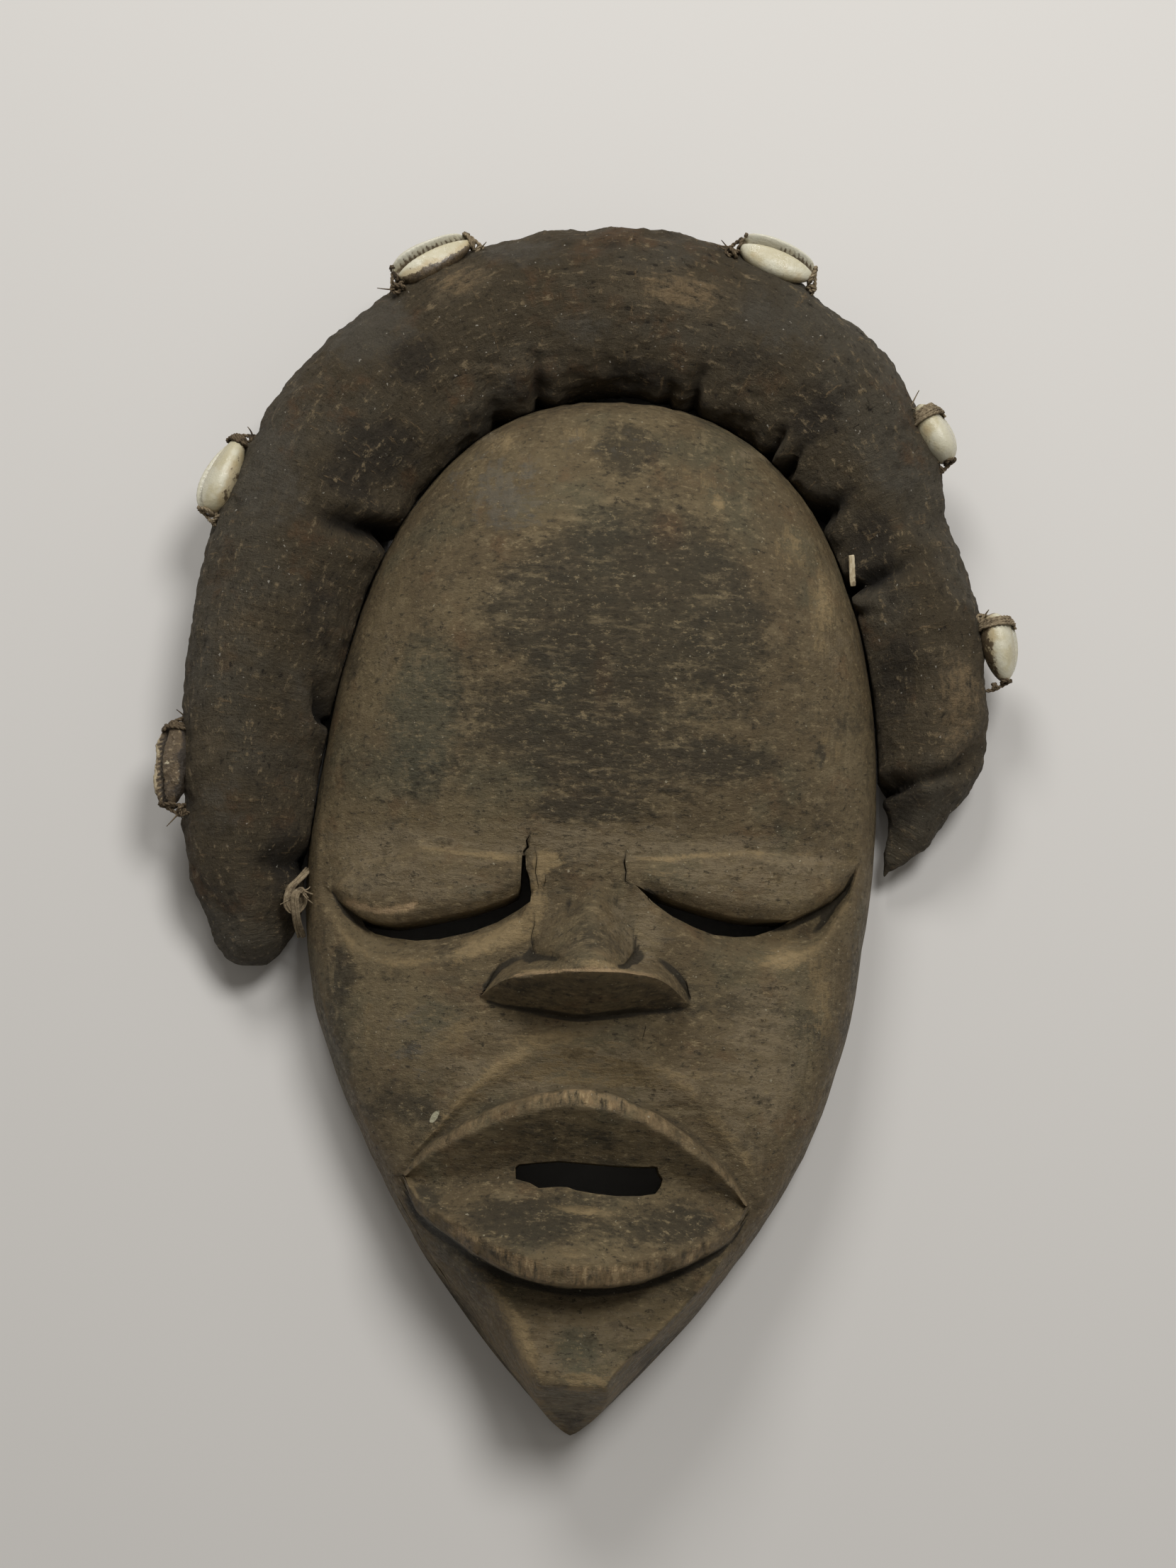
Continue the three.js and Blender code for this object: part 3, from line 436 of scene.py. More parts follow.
# Rows of the grid follow the carved lines, so that each edge is one clean crease. Each entry
# is a line across the face and the number of rows from it to the next one.
ROW_GAP = 0.35
FEATURE_ROWS = [
    (lambda x: 0 * x, 16), (lambda x: 0 * x + CHIN_EDGE_Y, 26), (lambda x: lip_low(x) - 5.5, 5),
    (lambda x: lip_low(x) - LIP_STEP - 0.1, 3), (lip_low, 7), (crest_low, 26), (slot_line, 24),
    (crest_up, 6), (lip_up, 3), (lambda x: lip_up(x) + LIP_STEP + 0.3, 14),
    (lambda x: np.maximum(lip_arch(x), lip_up(x) + LIP_STEP + 1), 12),
    (lambda x: np.maximum(nose_base(x), lip_arch(x) + 2), 14),
    (lambda x: np.maximum(nose_edge(x), nose_base(x) + 0.4), 10),
    (lambda x: np.maximum(wing_top(x) + 0.3, nose_edge(x) + 2), 6),
    (lambda x: np.maximum(ledge(x), wing_top(x) + 2), 10),
    (lambda x: np.maximum(lid_edge(x) - 0.8, ledge(x) + 2), 3),
    (lambda x: np.maximum(lid_edge(x) + 0.1, ledge(x) + 2.8), 5),
    (lambda x: np.minimum(np.maximum(lid_edge(x) + 2.5, ledge(x) + 4), brow(x) - 3.5), 14),
    (lambda x: brow(x) - 3, 5), (brow, 96), (lambda x: 0 * x + FACE_LENGTH, 0),
]
SLOT_ROW, BROW_ROW = 6, 19
OUTER_COLUMNS, HOLLOW_COLUMNS = 240, 36


def point_on_line(line, u):
    """Where the grid's column at a share u of the half width meets a line across the face."""
    y = line(0 * u)
    for _ in range(14):
        y = 0.3 * y + 0.7 * line(axis_x(y) + u * half_width(y))
    return y


def row_places(u):
    places = [point_on_line(line, u) for line, _ in FEATURE_ROWS]
    for k in range(SLOT_ROW - 1, 0, -1):
        places[k] = np.minimum(places[k], places[k + 1] - ROW_GAP)
    for k in range(SLOT_ROW + 1, len(places) - 1):
        places[k] = np.maximum(places[k], places[k - 1] + ROW_GAP)
    rows = []
    for k, (_, steps) in enumerate(FEATURE_ROWS):
        for s in range(steps):
            t = math.sin(math.pi / 2 * s / steps) if k == BROW_ROW else s / steps
            rows.append(places[k] + (places[k + 1] - places[k]) * t)
    return np.array(rows + [places[-1]])


def gathered(count, power):
    """Shares from -1 to 1 that stand closer together towards both ends."""
    t = np.linspace(-1, 1, count + 1)
    return np.sign(t) * (1 - (1 - np.abs(t)) ** power)


def add_sheet(mesh, places):
    """Lays a grid of quads over rows and columns of places given in the carver's millimetres."""
    rows, columns, _ = places.shape
    made = bmesh.ops.create_grid(mesh, x_segments=columns - 1, y_segments=rows - 1, size=1)
    places = world(places)
    for vertex in made["verts"]:
        j = round((vertex.co.x + 1) / 2 * (columns - 1))
        i = round((vertex.co.y + 1) / 2 * (rows - 1))
        vertex.co = places[i, j]
    return made["verts"]


def dapple(x, y, wide, high, seed):
    """Smooth random heights between -1 and 1, in lumps of the given width and height in mm."""
    table = np.random.default_rng(seed).uniform(-1, 1, (256, 256))
    u, v = x / wide + 100, y / high + 100
    i, j = np.floor(u).astype(int), np.floor(v).astype(int)
    s, t = u - i, v - j
    s, t = s * s * (3 - 2 * s), t * t * (3 - 2 * t)
    low = table[j % 256, i % 256] * (1 - s) + table[j % 256, (i + 1) % 256] * s
    high = table[(j + 1) % 256, i % 256] * (1 - s) + table[(j + 1) % 256, (i + 1) % 256] * s
    return low * (1 - t) + high * t


def patches(x, y, spots):
    """Soft ovals: place, half width, half height, turn in degrees and strength of each."""
    total = np.zeros_like(x)
    for spot_x, spot_y, wide, high, turn, strength in spots:
        c, s = math.cos(math.radians(turn)), math.sin(math.radians(turn))
        across = ((x - spot_x) * c + (y - spot_y) * s) / wide
        up = ((y - spot_y) * c - (x - spot_x) * s) / high
        total += strength * np.exp(-((across**2 + up**2) ** 1.4))
    return total


def off_chain(x, y, chain):
    """Each point's distance from a chain of points, and its share of the way along it."""
    best = np.full(np.shape(x), 1e6)
    share = np.zeros(np.shape(x))
    steps = np.diff(np.array(chain, dtype=float), axis=0)
    lengths = np.linalg.norm(steps, axis=1)
    run = 0.0
    for start, step, length in zip(chain[:-1], steps, lengths):
        t = np.clip(((x - start[0]) * step[0] + (y - start[1]) * step[1]) / length**2, 0, 1)
        away = np.hypot(x - start[0] - t * step[0], y - start[1] - t * step[1])
        share = np.where(away < best, (run + t * length) / lengths.sum(), share)
        best = np.minimum(best, away)
        run += length
    return best, share


def band(low, high, soft, t):
    """One between two limits, fading outside them."""
    return ease(low - soft, low + soft, t) * (1 - ease(high - soft, high + soft, t))


# The wood is split beside the nose, cracked at both inner eye corners and pitted in places.
# Each crack is a chain of points with its half width and its depth.
STRIP_LEFT = through([(125.5, -17.5), (135.9, -17), (142, -17.5), (148.5, -18.8), (153.4, -17.7)])
STRIP_RIGHT = through([
    (125.5, -16.2), (129, -16), (133.5, -13.6), (138.8, -11.3), (144.6, -9.9), (150.3, -10.2),
])
CRACKS = [
    ([(-19.6, 148.4), (-19.9, 150.2), (-18.9, 151.4), (-19.3, 153), (-18.2, 155)], 0.55, 3.0),
    ([(-17.2, 151.6), (-16.4, 148.5), (-16.6, 145), (-15.6, 141.4), (-15.9, 138)], 0.3, 1.6),
    ([(-14.4, 146.5), (-13.8, 143), (-14.6, 139.6), (-14.2, 136.4)], 0.28, 1.3),
    ([(-16.5, 135.5), (-16.1, 131.5), (-16.8, 128), (-16, 124.5)], 0.35, 1.6),
    ([(6.7, 151.8), (6.3, 148.6), (6.9, 146.2), (6.8, 143.8), (8.6, 142.6)], 0.45, 2.2),
    ([(12.4, 142.2), (13, 139.6), (14.2, 138.2)], 0.3, 1.0),
    ([(13.4, 109), (13.9, 106.2), (13.3, 103.4), (13.8, 100)], 0.3, 0.9),
]
PITTED = [
    (10.9, 108.6, 9, 1.8, 0, 1), (2, 99.8, 14, 2.6, 0, 0.9), (11.4, 138.4, 3.2, 2.6, 0, 1),
    (-66, 117, 4, 8, 0, 0.6), (-12, 103, 6, 3, 0, 0.6), (-23.5, 113, 5, 3, 20, 0.7),
    (-15, 132, 3, 8, 0, 0.6),
]
CHIP = (-39.4, 80.4, 0.62, 3.3, -40, 1.0)


def split_strip(x, y):
    return band(STRIP_LEFT(y), STRIP_RIGHT(y), 0.6, x) * band(127, 152, 2, y)


def lip_rims(x, y):
    """The rough bevels of the lower and the upper lip, 0 to 1."""
    mouth = (x > MOUTH_LEFT) & (x < MOUTH_RIGHT)
    low = band(lip_low(x) - 0.2, crest_low(x) + 0.2, 0.7, y) * mouth
    return low, band(crest_up(x) - 0.2, lip_up(x) + 0.2, 0.7, y) * mouth


# Lumps left by the blade, from wide to fine: width, height, seed and how high they stand
BLADE_MARKS = [(17, 13, 1, 0.32), (6, 4.5, 2, 0.15), (2.4, 1.7, 3, 0.07)]
BLADE_STROKES = [
    (-11, 264, 20, 9, 0, 1), (22, 256, 14, 9, -30, 0.7), (-66, 118, 6, 12, 0, 0.8),
    (58, 116, 7, 16, -8, 0.7),
]
CROWN_GROOVE, CROWN_GROOVE_AT, CROWN_GROOVE_HALF = 1.1, 0.955, 0.012


def tool_marks(x, y):
    """What the blade, wear and age left on the carved shape, in mm."""
    marks = sum(high * dapple(x, y, wide, tall, seed) for wide, tall, seed, high in BLADE_MARKS)
    low_rim, up_rim = lip_rims(x, y)
    gouges = 0.55 * dapple(x, y - lip_low(x), 1.5, 8, 4) + 0.5 * dapple(x, y, 3.1, 2.4, 5)
    marks += gouges * (low_rim + 0.75 * up_rim)
    splinters = 0.3 + 0.6 * np.abs(dapple(x, y, 1.6, 7, 6)) + 0.4 * dapple(x, y, 1.9, 2.3, 7)
    marks -= splinters * split_strip(x, y)
    marks -= 1.3 * np.clip(dapple(x, y, 1.7, 1.2, 8) - 0.25, 0, 1) * patches(x, y, PITTED)
    marks += 0.3 * dapple(x, y, 2.6, 11, 9) * patches(x, y, BLADE_STROKES)
    marks -= 0.5 * (patches(x, y, [CHIP]) > 0.55)
    groove = np.exp(-(((spread(x, y) - CROWN_GROOVE_AT) / CROWN_GROOVE_HALF) ** 2))
    return marks - CROWN_GROOVE * groove * ease(200, 235, y)


columns = gathered(OUTER_COLUMNS, 1.12)
outer_y = row_places(columns)
outer_x = axis_x(outer_y) + columns * half_width(outer_y)
low_rim, up_rim = lip_rims(outer_x, outer_y)
wavering = (0.25 + 0.4 * np.clip(low_rim + up_rim, 0, 1)) * dapple(outer_x, outer_y, 2.8, 3.5, 11)
outer_z = face_height(outer_x, outer_y + wavering)
outer_z += tool_marks(outer_x, outer_y) * ease(0, 5, outer_z)
side_waver = 0.4 * np.abs(columns) ** 8 * dapple(columns, outer_y, 0.5, 11, 10)
outer_x += side_waver * ease(0, 8, half_width(outer_y))

hollow_turn = np.linspace(0, math.pi, len(outer_y))
hollow_rows = HOLLOW_CHIN + (HOLLOW_CROWN - HOLLOW_CHIN) * (
    0.4 * (1 - np.cos(hollow_turn)) + 0.2 * hollow_turn / math.pi)
hollow_columns = gathered(HOLLOW_COLUMNS, 1.5)
hollow_y = hollow_rows[:, None] + 0 * hollow_columns
hollow_half = half_width(hollow_y, HALF_WIDTH - HOLLOW_SIDE, HOLLOW_CHIN, HOLLOW_CROWN)
hollow_x = axis_x(hollow_y) + hollow_columns * hollow_half
hollow_z = hollow_height(hollow_x, hollow_y)
for heights in (outer_z, hollow_z):
    heights[:, [0, -1]] = 0
    heights[[0, -1], :] = 0

carving = bmesh.new()
add_sheet(carving, np.stack([outer_x, outer_y, outer_z], axis=-1))
hollow_points = add_sheet(carving, np.stack([hollow_x, hollow_y, hollow_z], axis=-1))
hollow_faces = {face for vertex in hollow_points for face in vertex.link_faces}
bmesh.ops.reverse_faces(carving, faces=list(hollow_faces))
bmesh.ops.remove_doubles(carving, verts=carving.verts, dist=2e-6)
rim_edges = [edge for edge in carving.edges if edge.is_boundary]
bmesh.ops.bridge_loops(carving, edges=rim_edges)
bmesh.ops.recalc_face_normals(carving, faces=carving.faces)
wood = add_piece("carved_face", carving)

# The three openings' outlines as seen from the front: the mouth slot, the left slit with the
# split that runs up from its inner corner, and the right slit
MOUTH_SLOT = [
    (-17.5, 66.2), (-17.7, 69.1), (-16.9, 69.9), (-12.5, 70.6), (-6.6, 71.3), (0, 71.1),
    (8.3, 70.8), (15, 70.9), (18.7, 71.1), (19.2, 69.5), (20.3, 68.1), (19.9, 66.2), (18.6, 64.2),
    (14.6, 63.4), (8.7, 63.1), (4.2, 63.3), (-1.8, 64), (-4, 64.7), (-6.3, 64.7), (-11.4, 64.1),
    (-13.7, 65.3),
]
LEFT_SLIT = [
    (-62, 132), (-60.8, 130.1), (-58.3, 128.5), (-53.8, 127.5), (-47, 126.8), (-41, 127.4),
    (-32.4, 129.6), (-26, 132.3), (-17.5, 137.3), (-17.4, 139.5), (-18, 143.4), (-19.1, 146),
    (-19.4, 149.3), (-20.3, 149.3), (-20.3, 141.5), (-21, 139.5), (-24, 137.7), (-32.5, 134.6),
    (-38.9, 133), (-47.9, 131.1), (-52.2, 130.5), (-57.4, 131),
]
RIGHT_SLIT = [
    (9.6, 142.8), (14.4, 138.8), (19.2, 136), (24.5, 133.8), (30.8, 132), (36.5, 131.9),
    (41.7, 132.6), (46.8, 134.7), (51, 137.1), (41.2, 136.3), (36, 136.4), (28.2, 137.6),
    (20.4, 139.4), (14.6, 141),
]
CUTTER_SPAN = (-15.0, 95.0)
CRACK_ABOVE = 2.5


def slot_cutter(mesh, outline):
    """A prism with the slot's outline, from below the wood to above it."""
    low, high = CUTTER_SPAN
    corners = [mesh.verts.new(world((x, y, low))) for x, y in outline]
    base = mesh.faces.new(corners)
    lifted = bmesh.ops.extrude_face_region(mesh, geom=[base])
    tops = [item for item in lifted["geom"] if isinstance(item, bmesh.types.BMVert)]
    bmesh.ops.translate(mesh, verts=tops, vec=(0, 0, MM * (high - low)))


def crack_cutter(mesh, crack):
    """A thin wedge along a chain of points, pinched at its ends and open above the wood."""
    chain, wide, deep = crack
    line = np.array(chain, dtype=float)
    heading = np.gradient(line, axis=0)
    aside = np.stack([-heading[:, 1], heading[:, 0]], axis=1) / np.linalg.norm(heading, axis=1)[:, None]
    share = np.sin(np.linspace(0.12, math.pi - 0.12, len(line)))
    ground = face_height(line[:, 0], line[:, 1])
    rings = []
    for (x, y), (side_x, side_y), part, z in zip(line, aside, share, ground):
        half = wide * part * (1.2 + 0.5 * math.sin(3 * x + 5 * y))
        corners = ((-half, CRACK_ABOVE), (0, -deep * part), (half, CRACK_ABOVE))
        rings.append([mesh.verts.new(world((x + side_x * w, y + side_y * w, z + h))) for w, h in corners])
    for ring, following in zip(rings[:-1], rings[1:]):
        for k in range(3):
            mesh.faces.new((ring[k], ring[(k + 1) % 3], following[(k + 1) % 3], following[k]))
    mesh.faces.new(rings[0])
    mesh.faces.new(rings[-1])


def evaluated(piece):
    """The object as its modifiers leave it."""
    return piece.evaluated_get(bpy.context.evaluated_depsgraph_get())


def apply_modifiers(piece):
    finished = bpy.data.meshes.new_from_object(evaluated(piece))
    piece.modifiers.clear()
    piece.data = finished


def cut_away(piece, cutter, shapes):
    """Takes the closed solids that the cutter makes of some shapes away from a piece."""
    cutting = bmesh.new()
    for shape in shapes:
        cutter(cutting, shape)
    bmesh.ops.recalc_face_normals(cutting, faces=cutting.faces)
    tool = add_piece("cutter", cutting)
    opening = piece.modifiers.new("cut", "BOOLEAN")
    opening.operation = "DIFFERENCE"
    opening.object = tool
    opening.solver = "EXACT"
    apply_modifiers(piece)
    bpy.data.objects.remove(tool)


cut_away(wood, slot_cutter, [MOUTH_SLOT, LEFT_SLIT, RIGHT_SLIT])
cut_away(wood, crack_cutter, CRACKS)
wood.data.name = "carved_face"
wood.data.shade_smooth()
wood.data.set_sharp_from_angle(angle=math.radians(48))


def mesh_points(mesh):
    """A mesh's points in the carver's millimetres."""
    flat = np.empty(len(mesh.vertices) * 3)
    mesh.vertices.foreach_get("co", flat)
    return (flat.reshape(-1, 3) - CARVER) / MM


def store(mesh, name, values):
    """Keeps one value a point on a mesh, for its material to read."""
    kept = mesh.attributes.new(name, "FLOAT", "POINT").data
    kept.foreach_set("value", np.asarray(values, dtype=np.float32))


# Where the patina is worn down to tan wood, dark with soot, reddish, greenish or pale, and where it
# is glossy with a painted sheen
WORN = [
    (-31.4, 263, 5, 7, -35, 0.85), (-11, 265, 9, 4, 0, 0.7), (20.4, 251.5, 10, 6, -30, 0.6),
    (26.8, 245.5, 2, 2, 0, 0.9), (46.5, 236, 6, 11, -20, 0.75), (54, 211.8, 5, 18, -8, 0.6),
    (59.6, 183.7, 5, 13, -5, 0.6), (-57, 213.6, 6, 16, 10, 0.45), (-53.4, 158, 15, 4, 0, 0.5),
    (-42, 241, 4, 15, -35, 0.5), (-28, 127, 10, 4, 20, 0.85), (49.9, 127, 8, 8, 0, 0.75),
    (60.5, 117, 5, 14, -10, 0.7), (60, 144.5, 6, 5, 0, 0.55), (-12.6, 148.4, 4.5, 3, 0, 1),
    (-21, 128, 5, 7, 0, 0.55), (0.2, 119.3, 6.6, 1.5, 0, 1.2), (-13.3, 117.7, 7, 0.9, -3, 1.1),
    (10.7, 117.9, 3.6, 0.8, 0, 1), (2.2, 58.6, 12, 1.7, -3, 0.9), (-2.4, 48, 5, 2.4, 0, 0.7),
    (-4.3, 102.5, 14, 3, 0, 0.65), (-59, 103, 5, 9, 0, 0.6), (-38, 98.5, 9, 3, 25, 0.6),
    (-33, 104.5, 9, 2.5, 15, 0.55), (-20.8, 36, 4.5, 9, 25, 0.75), (-13, 24, 3.5, 10, 15, 0.95),
    (3.7, 16.8, 9, 2.4, 0, 0.8), (-1, 13.8, 9, 1, 0, 0.8), (24, 44, 14, 4, 30, 0.4),
    (34, 92, 10, 5, -45, 0.45), (44, 78, 5, 10, 0, 0.4), (16, 147, 6, 3, 0, 0.5),
    (-15.5, 140, 3, 13, 0, 0.9), (40, 147, 24, 5, 2, 0.42), (-45, 141, 22, 5, 0, 0.25),
    (0, 94, 28, 6, 0, 0.75), (-31, 85, 12, 3.5, 38, 0.5), (32, 80, 11, 4, -42, 0.5),
    (-46, 112, 14, 8, 0, 0.3), (44, 110, 14, 9, 0, 0.35), (12, 132, 4, 6, 0, 0.4),
    (-20, 100, 12, 5, 20, 0.4), (58, 225, 6, 14, 15, 0.5),
]
SOOTY = [
    (1.6, 263, 10, 9, 0, 0.85), (-15.5, 212.5, 20, 11, 0, 0.75), (14, 214, 20, 14, 0, 0.75),
    (-21.3, 183, 16, 8, 0, 0.5), (32.7, 176, 15, 5, 0, 0.75), (56.5, 180, 1.8, 4, 0, 1.2),
    (-46.5, 167, 13, 10, 0, 0.5), (-66.9, 117, 4.5, 10, 0, 1), (-57, 118, 6, 7, 0, 0.55),
    (-3, 131, 8, 8, -35, 0.55), (3, 125.5, 10, 3.5, 0, 0.6), (-47, 98.5, 3.5, 3, 0, 0.8),
    (-33, 31, 9, 13, 40, 0.75), (-42, 58, 6, 6, -40, 1.1), (-60, 141, 8, 5, 0, 0.6),
    (-24, 147, 6, 3, 0, 0.3), (22, 24, 9, 3.5, 40, 0.9), (0, 5, 10, 5, 0, 0.6),
    (-9, 78, 24, 6, 0, 0.4), (27, 74, 9, 6, -30, 0.35), (40, 103, 8, 6, 0, 0.4),
    (-12, 62, 24, 8, 0, 0.4), (28, 60, 10, 8, 0, 0.4), (-40, 190, 10, 12, 0, 0.4),
    (35, 205, 9, 14, 0, 0.4), (-5, 160, 18, 4, 0, 0.6), (-14, 97, 20, 2, 8, 0.4),
    (-62, 85, 5, 12, -15, 0.5), (2, 200, 36, 36, 0, 0.8), (-30, 262, 8, 8, 0, 0.3),
    (0, 226, 30, 16, 0, 0.5), (0, 170, 40, 10, 0, 0.4), (30, 232, 14, 12, 0, 0.25),
    (-18, 54, 16, 6, 0, 0.35), (22, 56, 14, 6, 0, 0.3), (-30, 250, 10, 8, 0, 0.3),
    (0, 76, 28, 5, 0, 0.3), (0, 54, 34, 9, 0, 0.55), (8, 250, 26, 14, 0, 0.4),
]
RUSTY = [
    (13.3, 235.8, 6, 8, 0, 0.9), (-1.5, 194, 3.5, 13, 0, 0.8), (-34, 88, 8, 5, 30, 0.5),
    (-20, 82, 9, 3, 30, 0.6), (56, 200, 5, 12, 0, 0.4),
]
MOSSY = [
    (-48, 185, 14, 26, 0, 0.9), (0, 24, 8, 8, 0, 0.9), (-32, 139, 10, 4, 0, 0.6),
    (-40, 106, 12, 8, 0, 0.7), (0, 93, 26, 3, 0, 0.7), (24, 186, 12, 20, 0, 0.5),
    (10, 54, 14, 6, 0, 0.5), (8, 132, 4, 6, 0, 0.6), (50, 150, 14, 3, 0, 0.3),
]
PALE = [
    (10, 131, 9, 11, 0, 1), (-12, 131, 6, 9, 0, 0.5), (0, 93, 34, 6.5, 0, 1),
    (46, 108, 16, 17, 0, 0.9), (-46, 105, 17, 14, 0, 0.55), (40, 146, 27, 7, 3, 1),
    (-45, 141, 27, 7, 0, 0.75), (0, 153, 72, 6, 1, 1), (0, 92, 30, 6, 0, 0.8),
    (-8, 103, 30, 6, 0, 0.6), (0, 30, 26, 22, 0, 0.8), (-20, 75, 20, 6, 20, 0.4),
    (20, 75, 20, 6, -20, 0.4), (44, 84, 11, 16, 0, 0.8), (-32, 86, 13, 5, 40, 0.6),
    (60, 215, 8, 30, 0, 0.6), (-60, 200, 8, 30, 0, 0.5), (-20, 247, 14, 12, -20, 0.5),
    (-62, 150, 12, 12, 0, 0.5), (0, 118, 20, 3, 0, 0.5), (0, 282, 30, 3, 0, 1),
    (-38, 268, 14, 3, -35, 1), (38, 266, 14, 3, 35, 1),
]
# Where a sheen is painted on, and the wood is glossier
SHEEN = [(-31, 246, 17, 12, -30, 1), (-4, 262, 20, 7, 0, 0.5), (-48, 100, 10, 12, 0, 0.6)]
LID_CREST = [
    (-68, 136.6), (-62.7, 135.1), (-58.3, 133.8), (-54, 133.6), (-49.7, 134.7), (-45.5, 136.2),
]
WEAR_REACH = 2.2

px, py, pz = mesh_points(wood.data).T
ground = face_height(px, py)
on_front = np.abs(pz - ground) < 1.6
turns = np.linspace(0, 2 * math.pi, 8, endpoint=False)
near = [face_height(px + WEAR_REACH * math.cos(a), py + WEAR_REACH * math.sin(a)) for a in turns]
relief = np.where(on_front & (spread(px, py) < 0.95), ground - sum(near) / len(near), 0)

# Lines of wear and painted highlight: the left lid's crest and the brow, worn with a painted
# highlight, wear under the sockets, and painted highlights on the arch and along the nose
crest_away, crest_share = off_chain(px, py, LID_CREST)
# Worn wood with a painted highlight along the left lid's crest
lid_crest_wear_and_highlight = np.exp(-((crest_away / 1.1) ** 2)) * band(0.06, 0.94, 0.06, crest_share)
socket_lines = 0.65 * band(-72, -20, 3, px) + 0.35 * band(20, 62, 6, px)
socket_lines *= np.exp(-(((py - ledge(px) + 0.6) / 2.4) ** 2))
# Painted highlight, with some wear, in a band just under the brow
brow_wear_and_highlight = np.exp(-(((py - brow(px) + 1.4) / 1.5) ** 2)) * eye_share(px)
brow_wear_and_highlight *= np.clip(0.5 + 0.5 * dapple(px, py, 9, 9, 21), 0, 1)
# Painted highlight along the ridge of the arch
arch_highlight = 0.45 * np.exp(-(((py - lip_arch(px) - 0.6) / 2.4) ** 2))
arch_highlight *= band(-46, 46, 4, px) * ease(8, 22, np.abs(px))
# Painted highlight along the nose's front edge
nose_edge_highlight = np.exp(-(((py - nose_edge(px) - 0.5) / 0.8) ** 2)) * band(-21, 16, 2, px)
low_rim, up_rim = lip_rims(px, py)
rim_tan = low_rim * (0.25 + 0.75 * band(-34, 30, 6, px)) + up_rim * (0.35 + 0.65 * band(-14, 16, 5, px))
rim_tan *= np.clip(0.7 + 0.75 * dapple(px, py, 6, 6, 22), 0.1, 1)

# Painted shade under the nose and along the crown's outline where the roll lies, and painted
# shade with dirt in the hollows and in the cracks
shade_under_nose = (py < nose_edge(px)) * (py > nose_base(px)) * (px > NOSE_LEFT) * (px < NOSE_RIGHT)
# Painted shadow of the roll along the crown's outline
outline = ease(0.93, 0.985, spread(px, py)) * (py > WIDEST_Y)
shade_and_dirt_in_hollows = ease(0.5, 1, np.clip(-relief / 1.1, 0, 1)) * ease(3, 7, np.abs(py - brow(px)))
shade_and_dirt_in_hollows *= np.where(np.abs(py - lip_up(px) - 1) < 3.5, 0.45, 1)
shade_and_dirt_in_hollows *= np.where(np.abs(py - slot_line(px)) < 4, 0.5, 1)
for chain, _, deep in CRACKS:
    shade_and_dirt_in_hollows += 0.6 * np.exp(-((off_chain(px, py, chain)[0] / 0.7) ** 2)) * min(deep / 2, 1)

store(wood.data, "edge_wear", np.clip(relief / 1.4, 0, 1))
# Painted shade, with dirt, in the hollows and the cracks
store(wood.data, "hollow_shade_and_dirt", np.clip(shade_and_dirt_in_hollows, 0, 1))
# The soot share also holds painted shade; the wear, crest and rim shares hold painted highlights
for name, share in {
    "side_grain": ease(0.62, 0.9, spread(px, py)),
    "wear_and_highlights": patches(px, py, WORN) + 0.9 * lid_crest_wear_and_highlight + socket_lines + brow_wear_and_highlight + arch_highlight,
    "soot_and_shade": patches(px, py, SOOTY) + 0.5 * shade_under_nose + 0.6 * outline,
    "rusty": patches(px, py, RUSTY),
    "mossy": patches(px, py, MOSSY),
    "pale": patches(px, py, PALE),
    "sheen": patches(px, py, SHEEN),
    "crest_wear_and_highlights": lid_crest_wear_and_highlight + 0.9 * nose_edge_highlight + 0.5 * brow_wear_and_highlight * np.abs(dapple(px, py, 5, 5, 23)),
    "rim_wear_and_crest_highlights": rim_tan + lid_crest_wear_and_highlight + nose_edge_highlight * (0.55 + 0.45 * band(-7, 6, 2, px)),
    "chipped": patches(px, py, [CHIP]),
}.items():
    store(wood.data, name, np.clip(share, 0, 1) * on_front)


